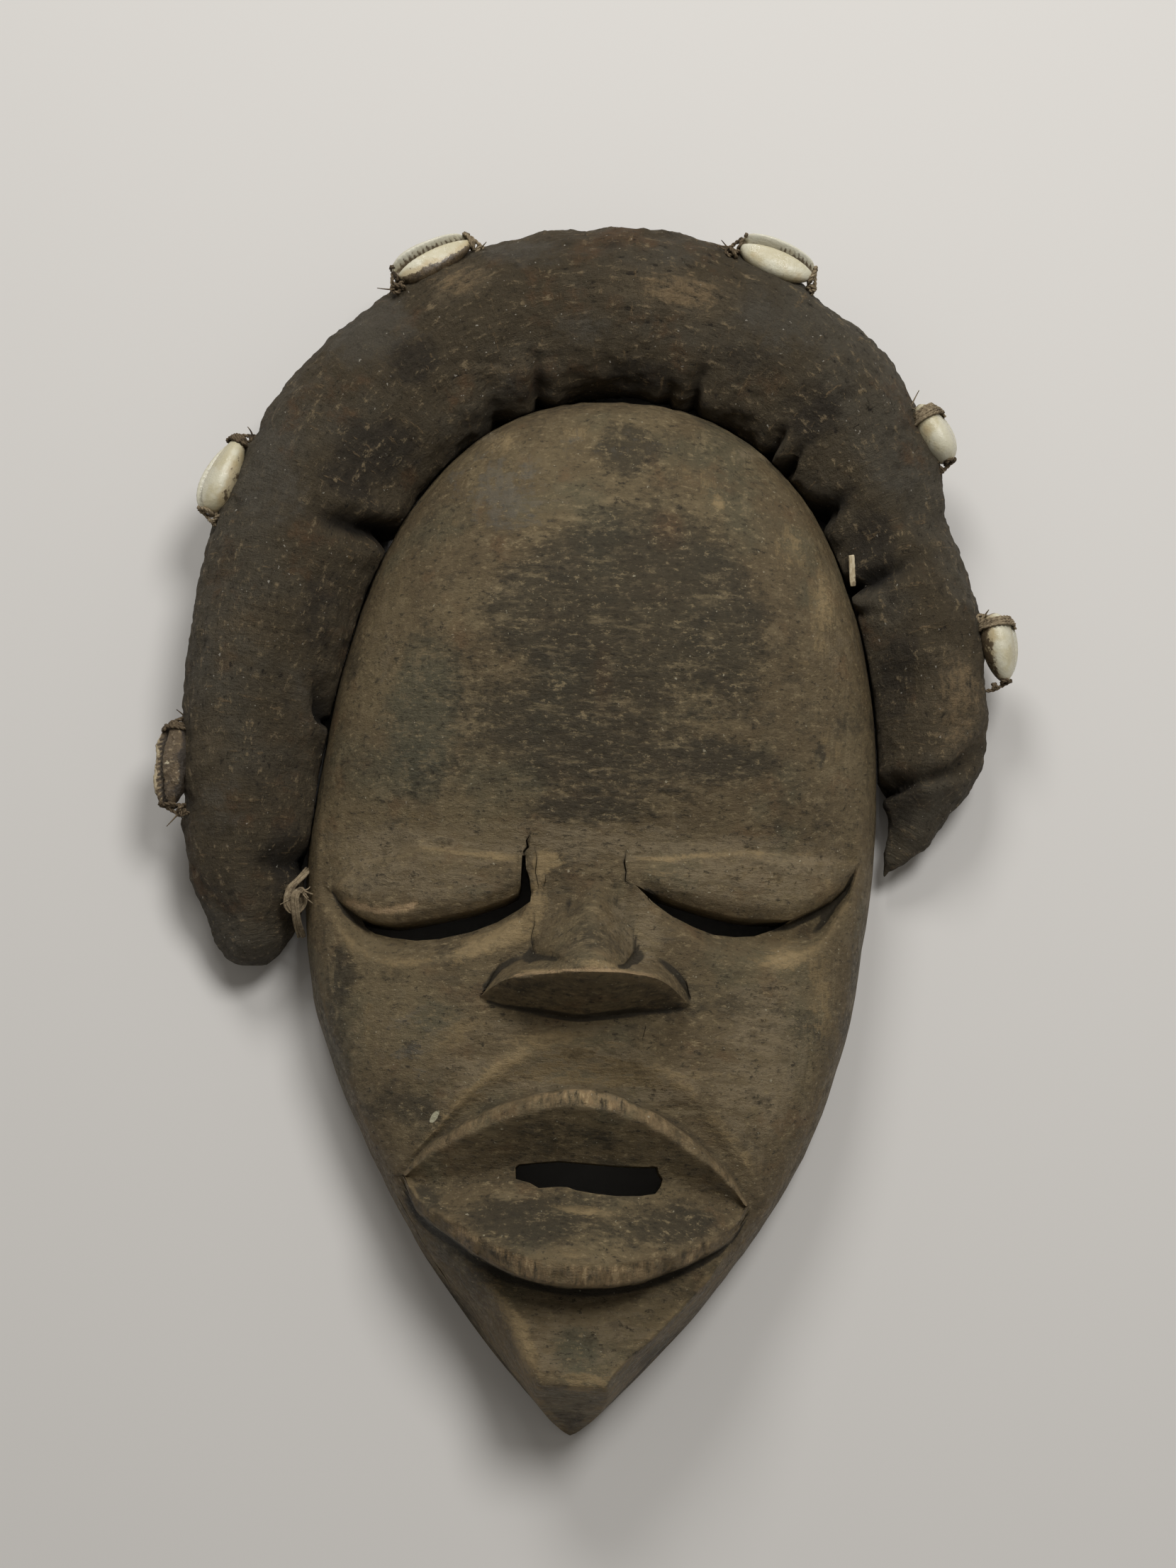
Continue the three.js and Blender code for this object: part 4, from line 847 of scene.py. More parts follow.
class Paint:
    """A material whose colour is laid on coat by coat over the piece's own coordinates."""

    def __init__(self, name, colour, roughness, specular=0.5):
        self.material = bpy.data.materials.new(name)
        self.material.use_nodes = True
        self.tree = self.material.node_tree
        self.shader = self.tree.nodes["Principled BSDF"]
        self.shader.inputs["Roughness"].default_value = roughness
        self.shader.inputs["Specular IOR Level"].default_value = specular
        self.place = self.add("ShaderNodeTexCoord").outputs["Object"]
        self.colour = colour
        self.height = None

    def add(self, kind, **settings):
        node = self.tree.nodes.new(kind)
        for key, value in settings.items():
            setattr(node, key, value)
        return node

    def link(self, source, socket):
        self.tree.links.new(source, socket)

    def cloud(self, size, detail=4, stretch=(1, 1, 1), roughness=0.55, shift=0.0, place=None):
        """Soft noise with lumps about size mm wide."""
        mapping = self.add("ShaderNodeMapping")
        mapping.inputs["Scale"].default_value = stretch
        mapping.inputs["Location"].default_value = (shift, shift * 0.7, shift * 1.3)
        self.link(place or self.place, mapping.inputs["Vector"])
        noise_node = self.add("ShaderNodeTexNoise")
        noise_node.inputs["Scale"].default_value = 1000 / size
        noise_node.inputs["Detail"].default_value = detail
        noise_node.inputs["Roughness"].default_value = roughness
        self.link(mapping.outputs[0], noise_node.inputs["Vector"])
        return noise_node.outputs["Fac"]

    def attribute(self, name, output="Fac"):
        return self.add("ShaderNodeAttribute", attribute_name=name).outputs[output]

    def window(self, source, low, high, top=1.0, bottom=0.0):
        """Ramps a value from bottom at low to top at high."""
        ramp = self.add("ShaderNodeMapRange", interpolation_type="SMOOTHSTEP")
        ramp.inputs["From Min"].default_value = low
        ramp.inputs["From Max"].default_value = high
        ramp.inputs["To Min"].default_value = bottom
        ramp.inputs["To Max"].default_value = top
        self.link(source, ramp.inputs["Value"])
        return ramp.outputs[0]

    def math(self, operation, first, second):
        node = self.add("ShaderNodeMath", operation=operation)
        for socket, value in zip(node.inputs, (first, second)):
            if isinstance(value, (int, float)):
                socket.default_value = value
            else:
                self.link(value, socket)
        return node.outputs[0]

    def blend(self, share, first, second):
        """Goes from one value to another by a share between 0 and 1."""
        mix = self.add("ShaderNodeMix", data_type="FLOAT")
        for name, value in (("Factor", share), ("A", first), ("B", second)):
            self.link(value, mix.inputs[name])
        return mix.outputs["Result"]

    def broken(self, name, noise_source, top=1.0, low=0.72, high=0.98):
        """An attribute's share, eaten at its edges and holes by noise."""
        lifted = self.math("ADD", self.math("MULTIPLY", self.attribute(name), 0.55), noise_source)
        return self.window(lifted, low, high, top)

    def coat(self, colour, share):
        """Lays one colour over what is there, by a share between 0 and 1."""
        mix = self.add("ShaderNodeMix", data_type="RGBA")
        under, over = [socket for socket in mix.inputs if socket.type == "RGBA"]
        self.link(share, mix.inputs["Factor"])
        if isinstance(self.colour, tuple):
            under.default_value = (*self.colour, 1)
        else:
            self.link(self.colour, under)
        over.default_value = (*colour, 1)
        self.colour = next(socket for socket in mix.outputs if socket.type == "RGBA")

    def wash(self, colour, source, low, high, top=1.0):
        """Lays a colour where a value passes from low to high."""
        self.coat(colour, self.window(source, low, high, top))

    def raise_by(self, source, millimetres):
        step = self.math("MULTIPLY", source, millimetres)
        self.height = step if self.height is None else self.math("ADD", self.height, step)

    def finish(self, roughness=None):
        self.link(self.colour, self.shader.inputs["Base Color"])
        if roughness is not None:
            self.link(roughness, self.shader.inputs["Roughness"])
        bump = self.add("ShaderNodeBump")
        bump.inputs["Distance"].default_value = MM
        self.link(self.height, bump.inputs["Height"])
        self.link(bump.outputs[0], self.shader.inputs["Normal"])
        return self.material


# Oil and handling have left the wood brown, with lighter, greenish, reddish and dark clouds
oiled = Paint("oiled_wood", (0.106, 0.076, 0.038), 0.5, 0.3)
flecks = oiled.cloud(1.5, 7, stretch=(0.6, 1, 0.8), roughness=0.78, shift=1.9)
dabs = oiled.cloud(4.6, 6, stretch=(0.7, 1, 1), roughness=0.7, shift=3.7)
ragged = oiled.math("MULTIPLY", oiled.math("ADD", dabs, flecks), 0.5)
across_grain = oiled.cloud(3.4, 6, stretch=(0.2, 1, 1), shift=2.2, roughness=0.72)
along_grain = oiled.cloud(3.4, 6, stretch=(1, 0.2, 0.5), shift=4.4, roughness=0.72)
grain = oiled.blend(oiled.attribute("side_grain"), across_grain, along_grain)
torn = oiled.window(oiled.math("MULTIPLY", oiled.math("ADD", ragged, grain), 0.5), 0.4, 0.6, 0.6)
oiled.wash((0.145, 0.108, 0.055), oiled.cloud(34, 6, roughness=0.62), 0.42, 0.6)
oiled.wash((0.084, 0.076, 0.044), oiled.cloud(24, 5, shift=3.1), 0.5, 0.66, 0.6)
oiled.wash((0.13, 0.074, 0.033), oiled.cloud(13, 6, shift=5.7), 0.57, 0.7, 0.45)
oiled.wash((0.036, 0.029, 0.017), oiled.cloud(22, 8, (0.7, 1, 1), 0.72, 8.3), 0.52, 0.64, 0.7)
# The patches of age and wear, ragged at their edges, with painted shade and painted highlights among them
oiled.coat((0.23, 0.178, 0.105), oiled.broken("pale", torn, 0.75, 0.52, 0.95))
oiled.coat((0.076, 0.073, 0.045), oiled.broken("mossy", ragged, 0.7))
oiled.coat((0.16, 0.082, 0.033), oiled.broken("rusty", ragged, 0.6))
# Soot, and painted shade under the nose and along the crown's outline
oiled.coat((0.03, 0.025, 0.015), oiled.broken("soot_and_shade", ragged, 0.75))
# Worn wood, and painted highlights on the lid's crest, the brow and the arch
oiled.coat((0.225, 0.161, 0.077), oiled.broken("wear_and_highlights", torn, 0.85, 0.6, 0.84))
# The grain, dabs, flecks and scratches, each with its dark and its light
oiled.wash((0.035, 0.027, 0.015), grain, 0.54, 0.66, 0.55)
oiled.wash((0.22, 0.168, 0.09), grain, 0.45, 0.34, 0.5)
oiled.wash((0.045, 0.034, 0.019), dabs, 0.54, 0.66, 0.5)
oiled.wash((0.2, 0.152, 0.082), dabs, 0.46, 0.34, 0.4)
oiled.wash((0.026, 0.02, 0.011), flecks, 0.54, 0.64, 0.85)
oiled.wash((0.27, 0.206, 0.11), flecks, 0.45, 0.35, 0.75)
scratches = oiled.cloud(1.3, 5, stretch=(0.25, 1, 0.6), roughness=0.75, shift=9.4)
oiled.wash((0.24, 0.187, 0.103), scratches, 0.6, 0.7, 0.5)
# The worn edges, light flecks on worn places and painted highlights, and the lips' rims with their
# chisel cuts, whose colours also lie on the lid's crest and the nose's edge as painted highlights
rubbed = oiled.window(dabs, 0.42, 0.62, 0.55)
oiled.coat((0.25, 0.177, 0.087), oiled.math("MULTIPLY", oiled.attribute("edge_wear"), rubbed))
# Light flecks on the worn places and on the painted highlights
oiled.coat((0.33, 0.241, 0.122), oiled.broken("wear_and_highlights", flecks, 0.7, 0.85, 1.15))
chisel = oiled.cloud(1.5, 5, stretch=(1, 0.22, 0.3), roughness=0.65, shift=7.1)
# The rims' chisel cuts, and painted highlights on the lid's crest and the nose's edge
rim = oiled.attribute("rim_wear_and_crest_highlights")
for colour, low, high, top in (
    ((0.27, 0.182, 0.091), 0.62, 0.42, 0.9),
    ((0.4, 0.295, 0.157), 0.44, 0.36, 0.8),
    ((0.03, 0.022, 0.011), 0.56, 0.66, 0.9),
):
    oiled.coat(colour, oiled.math("MULTIPLY", rim, oiled.window(chisel, low, high, top)))
# Painted shade with dirt in the hollows and cracks, the painted sheen at the forehead, the painted
# highlights on the crests, the chip and pale grit
oiled.wash((0.016, 0.013, 0.008), oiled.attribute("hollow_shade_and_dirt"), 0.15, 0.9, 0.85)
# Painted sheen, greyish, on the forehead and the left cheek
oiled.coat((0.13, 0.118, 0.092), oiled.broken("sheen", torn, 0.5, 0.6, 0.95))
# Painted highlights on the crests of the lid, the nose and the brow
oiled.coat((0.36, 0.25, 0.138), oiled.broken("crest_wear_and_highlights", flecks, 0.85, 0.76, 0.98))
oiled.wash((0.42, 0.394, 0.27), oiled.attribute("chipped"), 0.5, 0.58)
oiled.wash((0.42, 0.374, 0.261), oiled.cloud(1.2, 2, shift=6.1), 0.715, 0.75, 0.6)
oiled.raise_by(grain, 0.3)
oiled.raise_by(dabs, 0.8)
oiled.raise_by(flecks, 0.7)
oiled.raise_by(scratches, 0.3)
oiled.raise_by(oiled.math("MULTIPLY", rim, chisel), -0.8)
matt = oiled.window(ragged, 0.38, 0.62, 0.72, 0.45)
polish = oiled.window(oiled.attribute("sheen"), 0, 1, 0.16)
wood.data.materials.append(oiled.finish(oiled.math("SUBTRACT", matt, polish)))

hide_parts("mask")
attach(wood, "root")


# The headdress is a tube of cloth stuffed hard and bent round the forehead from cheek to temple.
# It was tied down at its ends and stitched through, which pulls the creases in, and oil and
# soot have left it stiff with a matt crust. The left end is torn open, the right one is tattered.
ROLL_FLATNESS = 0.9
ROLL_FILL = 0.96
ROLL_ROWS, ROLL_SIDES, ROLL_FINE_ROWS = 170, 44, 1200
ROLL_ROW_STEP = 0.62
VOXEL, SWELL_FRAMES, MOST_SWELL, WOOD_GAP = 4.0, 20, 1.2, 0.5
# Stations from the left end over the crown to the right end: X, Y and the tube's radius
ROLL_STATIONS = np.array([
    (-88.2, 119.5, 3.5), (-90.8, 125.5, 10), (-92.5, 133, 14), (-94.8, 148, 17.8), (-95.4, 169, 20),
    (-94.5, 191, 22), (-91, 213, 23.6), (-86, 237, 24.4), (-75.8, 262, 24.6), (-57.6, 285, 24.4),
    (-31.5, 300.6, 24.8), (0, 306.4, 24.6), (30, 300.6, 24.2), (54, 285.4, 22.8), (68.4, 266, 20),
    (76.6, 247, 17.6), (84, 222, 19), (88.2, 200, 17.2), (87.6, 181, 14.6), (85.5, 168.5, 9),
    (80.5, 160, 4.5), (76.6, 152, 2.2),
])


def roll_line(places):
    """The tube's middle, radius and heading at places counted in stations."""
    x, y, radius = ROLL_STATIONS.T
    points = np.stack([x, y, ROLL_FLATNESS * radius + np.maximum(0, 9 - 0.6 * radius)], axis=1)
    padded = np.vstack([2 * points[0] - points[1], points, 2 * points[-1] - points[-2]])
    i = np.clip(places.astype(int), 0, len(points) - 2)
    p0, p1, p2, p3 = (padded[i + k] for k in range(4))
    spans = ((p0, p1), (p1, p2), (p2, p3))
    d0, d1, d2 = (np.sqrt(np.linalg.norm(b - a, axis=1))[:, None] for a, b in spans)
    start = ((p1 - p0) / d0 - (p2 - p0) / (d0 + d1)) * d1 + p2 - p1
    end = ((p3 - p2) / d2 - (p3 - p1) / (d1 + d2)) * d1 + p2 - p1
    s = (places - i)[:, None]
    middle = (p1 + start * s + (3 * (p2 - p1) - 2 * start - end) * s**2
              + (2 * (p1 - p2) + start + end) * s**3)
    heading = (start + 2 * (3 * (p2 - p1) - 2 * start - end) * s
               + 3 * (2 * (p1 - p2) + start + end) * s**2)
    heading[:, 2] = 0
    heading /= np.linalg.norm(heading, axis=1)[:, None]
    size = radius[i] + (radius[i + 1] - radius[i]) * ease(0, 1, s[:, 0])
    return middle, size, heading


ROLL_MIDDLE, ROLL_RADIUS, _ = roll_line(np.linspace(0, len(ROLL_STATIONS) - 1, ROLL_FINE_ROWS))


def nearest_on_roll(points):
    """For each point the nearest place along the tube's middle, as an index."""
    batches = np.array_split(points[:, :2], 1 + len(points) // 4000)
    aways = (batch[:, None] - ROLL_MIDDLE[None, :, :2] for batch in batches)
    return np.concatenate([(away**2).sum(axis=2).argmin(axis=1) for away in aways])


def rough(points, size, seed):
    """Smooth noise with lumps about the given size in mm, about -0.5 to 0.5."""
    offset = Vector((seed * 17.3, seed * 5.1, seed * 9.7))
    return np.array([noise.noise(Vector(point) / size + offset) for point in points])


def set_points(mesh, points):
    mesh.vertices.foreach_set("co", world(points).ravel())
    mesh.update()


def in_wood(points, gap):
    """Whether each point is inside the wooden face or nearer to it than the gap."""
    x, y, z = points.T
    inside = spread(x, y, HALF_WIDTH + gap, -gap, FACE_LENGTH + gap) < 1
    near_x = axis_x(y) + (x - axis_x(y)) * (1 - gap / HALF_WIDTH)
    return inside & (z < face_height(near_x, np.clip(y, 0, FACE_LENGTH)) + gap)


def press_out(points, blocked, toward, steps=9):
    """Moves each blocked point towards its own safe place, just far enough to be clear."""
    stuck = np.flatnonzero(blocked(points))
    low = np.zeros(len(stuck))
    high = np.ones(len(stuck))
    for _ in range(steps):
        share = (low + high) / 2
        tried = points[stuck] + (toward[stuck] - points[stuck]) * share[:, None]
        hit = blocked(tried)
        low = np.where(hit, share, low)
        high = np.where(hit, high, share)
    points[stuck] += (toward[stuck] - points[stuck]) * high[:, None]
    return points


middle, radius, heading = roll_line(np.linspace(0, len(ROLL_STATIONS) - 1, ROLL_ROWS))
radius *= ROLL_FILL
radius[[0, -1]] = 0
turns = np.linspace(0, 2 * math.pi, ROLL_SIDES + 1)
outward = np.stack([-heading[:, 1], heading[:, 0], 0 * radius], axis=1)
rings = middle[:, None, :] + outward[:, None, :] * (radius[:, None] * np.cos(turns))[:, :, None]
rings[:, :, 2] = np.maximum(0, rings[:, :, 2] + ROLL_FLATNESS * radius[:, None] * np.sin(turns))
tube = bmesh.new()
add_sheet(tube, rings)
bmesh.ops.remove_doubles(tube, verts=tube.verts, dist=1e-5)
bmesh.ops.recalc_face_normals(tube, faces=tube.faces)
roll = add_piece("stuffed_roll", tube)
voxels = roll.modifiers.new("voxels", "REMESH")
voxels.mode = "VOXEL"
voxels.voxel_size = VOXEL * MM
apply_modifiers(roll)

# Creases run in from the wood's side, each a chain of points with its depth and half width
CREASES = [
    ([(-58, 238.5), (-68.6, 237.6), (-78, 238.5), (-84, 242)], 6.5, 2.6),
    ([(-22.7, 276), (-23.3, 283.2), (-24.2, 291)], 3.4, 1.8),
    ([(-34, 272), (-35, 278), (-39, 283)], 2.5, 3),
    ([(19, 277), (20.3, 284.6), (24.5, 291.5)], 3.4, 2.0),
    ([(12, 278), (13, 283), (11, 287)], 2.6, 2),
    ([(39, 264), (43.7, 271.1), (46, 274)], 4.2, 1.5),
    ([(43, 260), (50.7, 268.7), (53.5, 271.5)], 4.4, 1.6),
    ([(50, 250), (57.3, 252.4), (66, 259)], 5.5, 3.4),
    ([(58, 230), (67.7, 231.5), (77.2, 235.5), (84, 240)], 6.5, 2.4),
    ([(63, 220), (67.2, 224.8), (70.4, 221)], 4, 1.3),
    ([(74, 176.5), (80.1, 177.5), (86.7, 179.2), (94.4, 181.8), (101.1, 190.5), (104.5, 197)], 3.8, 1.8),
    ([(-74, 149.5), (-78.2, 148.8), (-84.2, 146.4), (-90, 146.2), (-96, 149)], 4.6, 3.4),
    ([(-72, 158), (-80.4, 158.9), (-91.3, 155.4)], 1.8, 4),
    ([(-70, 187.5), (-75.2, 186.7), (-77, 192), (-78.5, 199)], 5.5, 2),
    ([(-84, 170), (-92, 172)], 1, 4),
    ([(-103.5, 268), (-96, 262)], 1.6, 3),
    ([(-88, 292), (-80, 287)], 1.2, 4),
]


def crease_drop(points):
    """How far the creases pull each point in, in mm, with the cloth bulging beside them."""
    total = np.zeros(len(points))
    wander = 1.1 * rough(points, 7, 4)
    for chain, depth, half in CREASES:
        away, share = off_chain(points[:, 0], points[:, 1], chain)
        fade = np.clip(1 - share**1.6, 0, 1)
        off = np.abs(away + wander)
        bulge = 0.3 * np.exp(-(((off - 2.3 * half) / (1.3 * half)) ** 2))
        total += depth * fade * (np.exp(-((off / half) ** 1.5)) - bulge)
    return total * ease(5, 13, points[:, 2])


# The stuffing swells the cloth from inside, but not where stitches hold the creases down and not
# along the underside. Smoothing then takes the voxels' steps out.
held = roll.vertex_groups.new(name="held")
points = mesh_points(roll.data)
nearest = nearest_on_roll(points)
flank = (points - ROLL_MIDDLE[nearest])[:, 2]
for index in np.flatnonzero((crease_drop(points) > 1.2) | (flank < -0.5 * ROLL_RADIUS[nearest])):
    held.add([int(index)], 1.0, "REPLACE")
cloth = roll.modifiers.new("stuffing", "CLOTH")
cloth.settings.quality = 6
cloth.settings.mass = 0.4
cloth.settings.tension_stiffness = 25
cloth.settings.compression_stiffness = 10
cloth.settings.shrink_min = -0.05
cloth.settings.use_pressure = True
cloth.settings.uniform_pressure_force = 4
cloth.settings.vertex_group_mass = "held"
cloth.settings.effector_weights.gravity = 0
cloth.point_cache.frame_start = 1
cloth.point_cache.frame_end = SWELL_FRAMES
for frame_number in range(1, SWELL_FRAMES + 1):
    bpy.context.scene.frame_set(frame_number)
move = mesh_points(evaluated(roll).data) - points
bpy.context.scene.frame_set(1)
roll.modifiers.clear()
distance = np.linalg.norm(move, axis=1)
move *= (np.minimum(distance, MOST_SWELL) / np.maximum(distance, 1e-6))[:, None]
set_points(roll.data, points + move)

settled = roll.modifiers.new("settled", "SMOOTH")
settled.factor = 0.5
settled.iterations = 4
finer = roll.modifiers.new("finer", "SUBSURF")
finer.levels = finer.render_levels = 2
apply_modifiers(roll)

# The lumps of the stuffing and the grit of the crust: size in mm, seed and height
LUMPS = [(32, 1, 1.4), (11, 2, 0.9), (4.5, 3, 0.6)]
GRIT = [(2.4, 5, 0.6), (6, 6, 0.5)]
points = mesh_points(roll.data)
nearest = nearest_on_roll(points)
centre = ROLL_MIDDLE[nearest]
inward = centre - points
inward /= np.maximum(np.linalg.norm(inward, axis=1), 1e-3)[:, None]
drop = crease_drop(points)
raised = sum(high * rough(points, size, seed) for size, seed, high in LUMPS)
raised += sum(high * np.abs(rough(points, size, seed)) for size, seed, high in GRIT)
points = points + inward * (drop - raised)[:, None]
points[:, 2] = np.maximum(points[:, 2], 0)
points = press_out(points, lambda tried: in_wood(tried, WOOD_GAP), centre)
set_points(roll.data, points)
roll.data.shade_smooth()
# Darker deep in the creases, by how far they pull in
store(roll.data, "crease_darkening", np.clip(drop / 4.5, 0, 0.9))

# Where the crust is rubbed down to tan cloth, smoother and grey with a painted sheen, or black
# with oil
TANNED = [
    (-46, 308, 12, 7, 30, 0.9), (4, 310, 30, 9, 0, 0.6), (-29, 287, 10, 6, 20, 0.7),
    (18, 305, 14, 9, 0, 0.5), (-41, 278, 9, 7, 0, 0.6), (95, 200, 12, 24, 0, 0.9),
    (88, 240, 9, 14, 0, 0.4), (-98, 206, 12, 16, 0, 0.6), (-104, 178, 8, 12, 0, 0.6),
    (60, 288, 12, 8, -30, 0.4), (-92, 136, 9, 9, 0, 0.5), (-80, 262, 9, 9, 0, 0.4),
]
SMOOTH_GREY_SHEEN = [
    (-70, 293, 15, 13, 45, 1), (-94, 250, 12, 20, 10, 0.8), (-30, 318, 16, 7, 0, 0.8),
    (40, 300, 14, 9, -30, 0.8), (76, 262, 9, 12, 0, 0.6), (-102, 160, 10, 10, 0, 0.6),
    (-80, 190, 8, 14, 0, 0.5), (-12, 296, 12, 6, 0, 0.7),
]
BLACKENED = [
    (-57, 284, 9, 8, 0, 0.8), (-72, 252, 10, 14, 0, 0.8), (-60, 262, 8, 9, 0, 0.8),
    (6, 286, 16, 5, 0, 0.7), (52, 276, 10, 9, 0, 0.8), (70, 240, 8, 14, 0, 0.9),
    (78, 208, 6, 18, 0, 0.8), (-84, 150, 8, 10, 0, 0.8), (-78, 214, 7, 14, 0, 0.7),
    (80, 172, 8, 8, 0, 0.7), (34, 290, 12, 6, -20, 0.6),
]
for name, spots in (("tanned", TANNED), ("smooth_grey_sheen", SMOOTH_GREY_SHEEN), ("blackened", BLACKENED)):
    store(roll.data, name, np.clip(patches(points[:, 0], points[:, 1], spots), 0, 1))

# Places on the cloth as if it were laid flat: along the tube and round it, in metres
around = np.arctan2(points[:, 2] - centre[:, 2], np.linalg.norm((points - centre)[:, :2], axis=1))
skin = np.stack([nearest * ROLL_ROW_STEP, ROLL_RADIUS[nearest] * around, 0 * around], axis=1) * MM
roll.data.attributes.new("skin_place", "FLOAT_VECTOR", "POINT").data.foreach_set("vector", skin.ravel())

crust = Paint("crusted_cloth", (0.088, 0.066, 0.036), 0.82, 0.3)
skin_place = crust.attribute("skin_place", "Vector")
flakes = crust.cloud(2.8, 7, stretch=(0.5, 1, 1), roughness=0.76, place=skin_place)
fibres = crust.cloud(2.4, 6, stretch=(1, 0.3, 1), roughness=0.7, shift=3.7, place=skin_place)
scabs = crust.cloud(6, 8, roughness=0.76, shift=5.2)
ridges = crust.math("ABSOLUTE", crust.math("SUBTRACT", scabs, 0.5), 0)
crust.wash((0.115, 0.102, 0.075), crust.cloud(45, 5, shift=1.7), 0.46, 0.62, 0.6)
crust.wash((0.13, 0.075, 0.035), crust.cloud(19, 7, shift=4.1, roughness=0.7), 0.54, 0.68, 0.8)
crust.wash((0.035, 0.027, 0.017), crust.cloud(15, 7, shift=6.6, roughness=0.7), 0.54, 0.68, 0.75)
# Smoother grey cloth with a painted sheen
crust.coat((0.115, 0.101, 0.076), crust.broken("smooth_grey_sheen", scabs, 0.7, 0.68, 1.0))
crust.coat((0.034, 0.026, 0.016), crust.broken("blackened", scabs, 0.85, 0.66, 0.95))
crust.coat((0.15, 0.114, 0.066), crust.broken("tanned", scabs, 0.75, 0.68, 1.0))
calm = crust.window(crust.attribute("smooth_grey_sheen"), 0, 0.8, 0.25, 1.0)
for colour, source, low, high, top in (
    ((0.3, 0.225, 0.125), flakes, 0.55, 0.65, 0.9),
    ((0.02, 0.015, 0.009), flakes, 0.44, 0.35, 0.9),
    ((0.25, 0.17, 0.085), fibres, 0.6, 0.68, 0.7),
):
    crust.coat(colour, crust.math("MULTIPLY", calm, crust.window(source, low, high, top)))
crust.coat((0.27, 0.19, 0.1), crust.broken("tanned", flakes, 0.85, 0.9, 1.06))
crust.wash((0.04, 0.03, 0.018), ridges, 0.02, 0.0, 0.5)
# Darker deep in the creases
crust.coat((0.014, 0.011, 0.007), crust.attribute("crease_darkening"))
crust.wash((0.6, 0.55, 0.45), crust.cloud(1.3, 2, shift=8.8), 0.72, 0.75, 0.7)
crust.raise_by(flakes, 2.6)
crust.raise_by(fibres, 1.5)
crust.raise_by(ridges, 3.0)
crust.raise_by(crust.cloud(0.9, 3, shift=2.9), 0.25)
roll.data.materials.append(crust.finish(crust.window(flakes, 0.3, 0.7, 0.65, 0.9)))
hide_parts("padded_roll")
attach(roll, "root")


# Seven cowries are sewn along the outer edge of the roll with their toothed slots outwards.
# They are glossy and cream, brown with dirt and painted shade in the slot and the groove beside
# it, and brown with dirt where they lie on the cloth. The lowest one at the left is under a
# brown crust, and the fourth is half behind the fifth.
SHELL_WIDE, SHELL_THICK, SHELL_SINK = 13.5, 9.5, 2.2
SHELL_ROWS, SHELL_COLUMNS = 130, 88
SLOT_DEPTH, TOOTH_GAP, TOOTH_HEIGHT = 3.2, 1.4, 0.24
INNER_LIP, OUTER_LIP, RIM_GROOVE = 0.2, 1.35, 0.25
# "at" is the place along the roll in stations, "tilt" how far the shell sits up the roll's front,
# "turn" its turn about its own length, "taper" how much slimmer its far end is, "rib" the width
# of its teeth and "toothed" the stretch of the slot that has them
PLAIN_SHELL = {"girth": 1, "lift": 0, "slot": 1, "rib": 0.6, "toothed": (-0.8, 0.8), "crust": 0}
SHELLS = [PLAIN_SHELL | shell for shell in (
    {"at": 4.15, "tilt": 0.3, "length": 23.5, "turn": 0.45, "taper": 0.06, "girth": 0.86, "dirt": 1,
     "lift": -0.4, "slot": 0.3, "rib": 1.3, "toothed": (-0.9, 0.6), "crust": 0.45},
    {"at": 7.28, "tilt": 0.34, "length": 23.5, "turn": -0.02, "taper": 0.26, "girth": 0.96, "dirt": 0.55,
     "lift": 0.2, "toothed": (-0.85, 0.85)},
    {"at": 9.6, "tilt": 0.45, "length": 24, "turn": 0.66, "taper": 0.24, "girth": 0.92, "dirt": 0.9,
     "toothed": (-0.8, 0.75)},
    {"at": 11.9, "tilt": -0.35, "length": 20, "turn": 0.2, "taper": 0.14, "dirt": 0.5},
    {"at": 12.06, "tilt": 0.5, "length": 22.5, "turn": 0.6, "taper": 0.08, "girth": 0.96, "dirt": 0.3,
     "rib": 0.55, "toothed": (0.0, 0.85)},
    {"at": 14.0, "tilt": 0.3, "length": 18.5, "turn": -0.2, "taper": -0.12, "dirt": 0.35, "lift": -0.3},
    {"at": 16.42, "tilt": 0.3, "length": 19.5, "turn": -0.15, "taper": 0.2, "dirt": 0.75, "lift": 0.9},
)]


def shell_seat(shell):
    """A shell's middle and its directions: along the roll, across it and out of it."""
    middle, radius, heading = roll_line(np.array([float(shell["at"])]))
    along = heading[0]
    out = np.array([-along[1], along[0], 0]) * math.cos(shell["tilt"])
    out[2] = math.sin(shell["tilt"]) * ROLL_FLATNESS
    centre = middle[0] + out * (radius[0] + SHELL_THICK / 2 - SHELL_SINK + shell["lift"])
    out /= np.linalg.norm(out)
    return centre, along, np.cross(out, along), out


def girth(shell, s):
    """Half a shell's width and half its thickness at a place from -1 to 1 along it."""
    full = (1 - np.minimum(np.abs(s), 1) ** 2.1) ** 0.5 * (1 - shell["taper"] * s) * shell["girth"]
    return SHELL_WIDE / 2 * full, SHELL_THICK / 2 * full


def on_shell(shell, along_mm, side_mm, out_mm):
    """Places on a shell, which is turned a little about its length, in the carver's frame."""
    centre, along, side, out = shell_seat(shell)
    c, s = math.cos(shell["turn"]), math.sin(shell["turn"])
    turned_side, turned_out = side * c + out * s, out * c - side * s
    return centre + sum(np.asarray(amount)[..., None] * axis for amount, axis in
                        ((along_mm, along), (side_mm, turned_side), (out_mm, turned_out)))


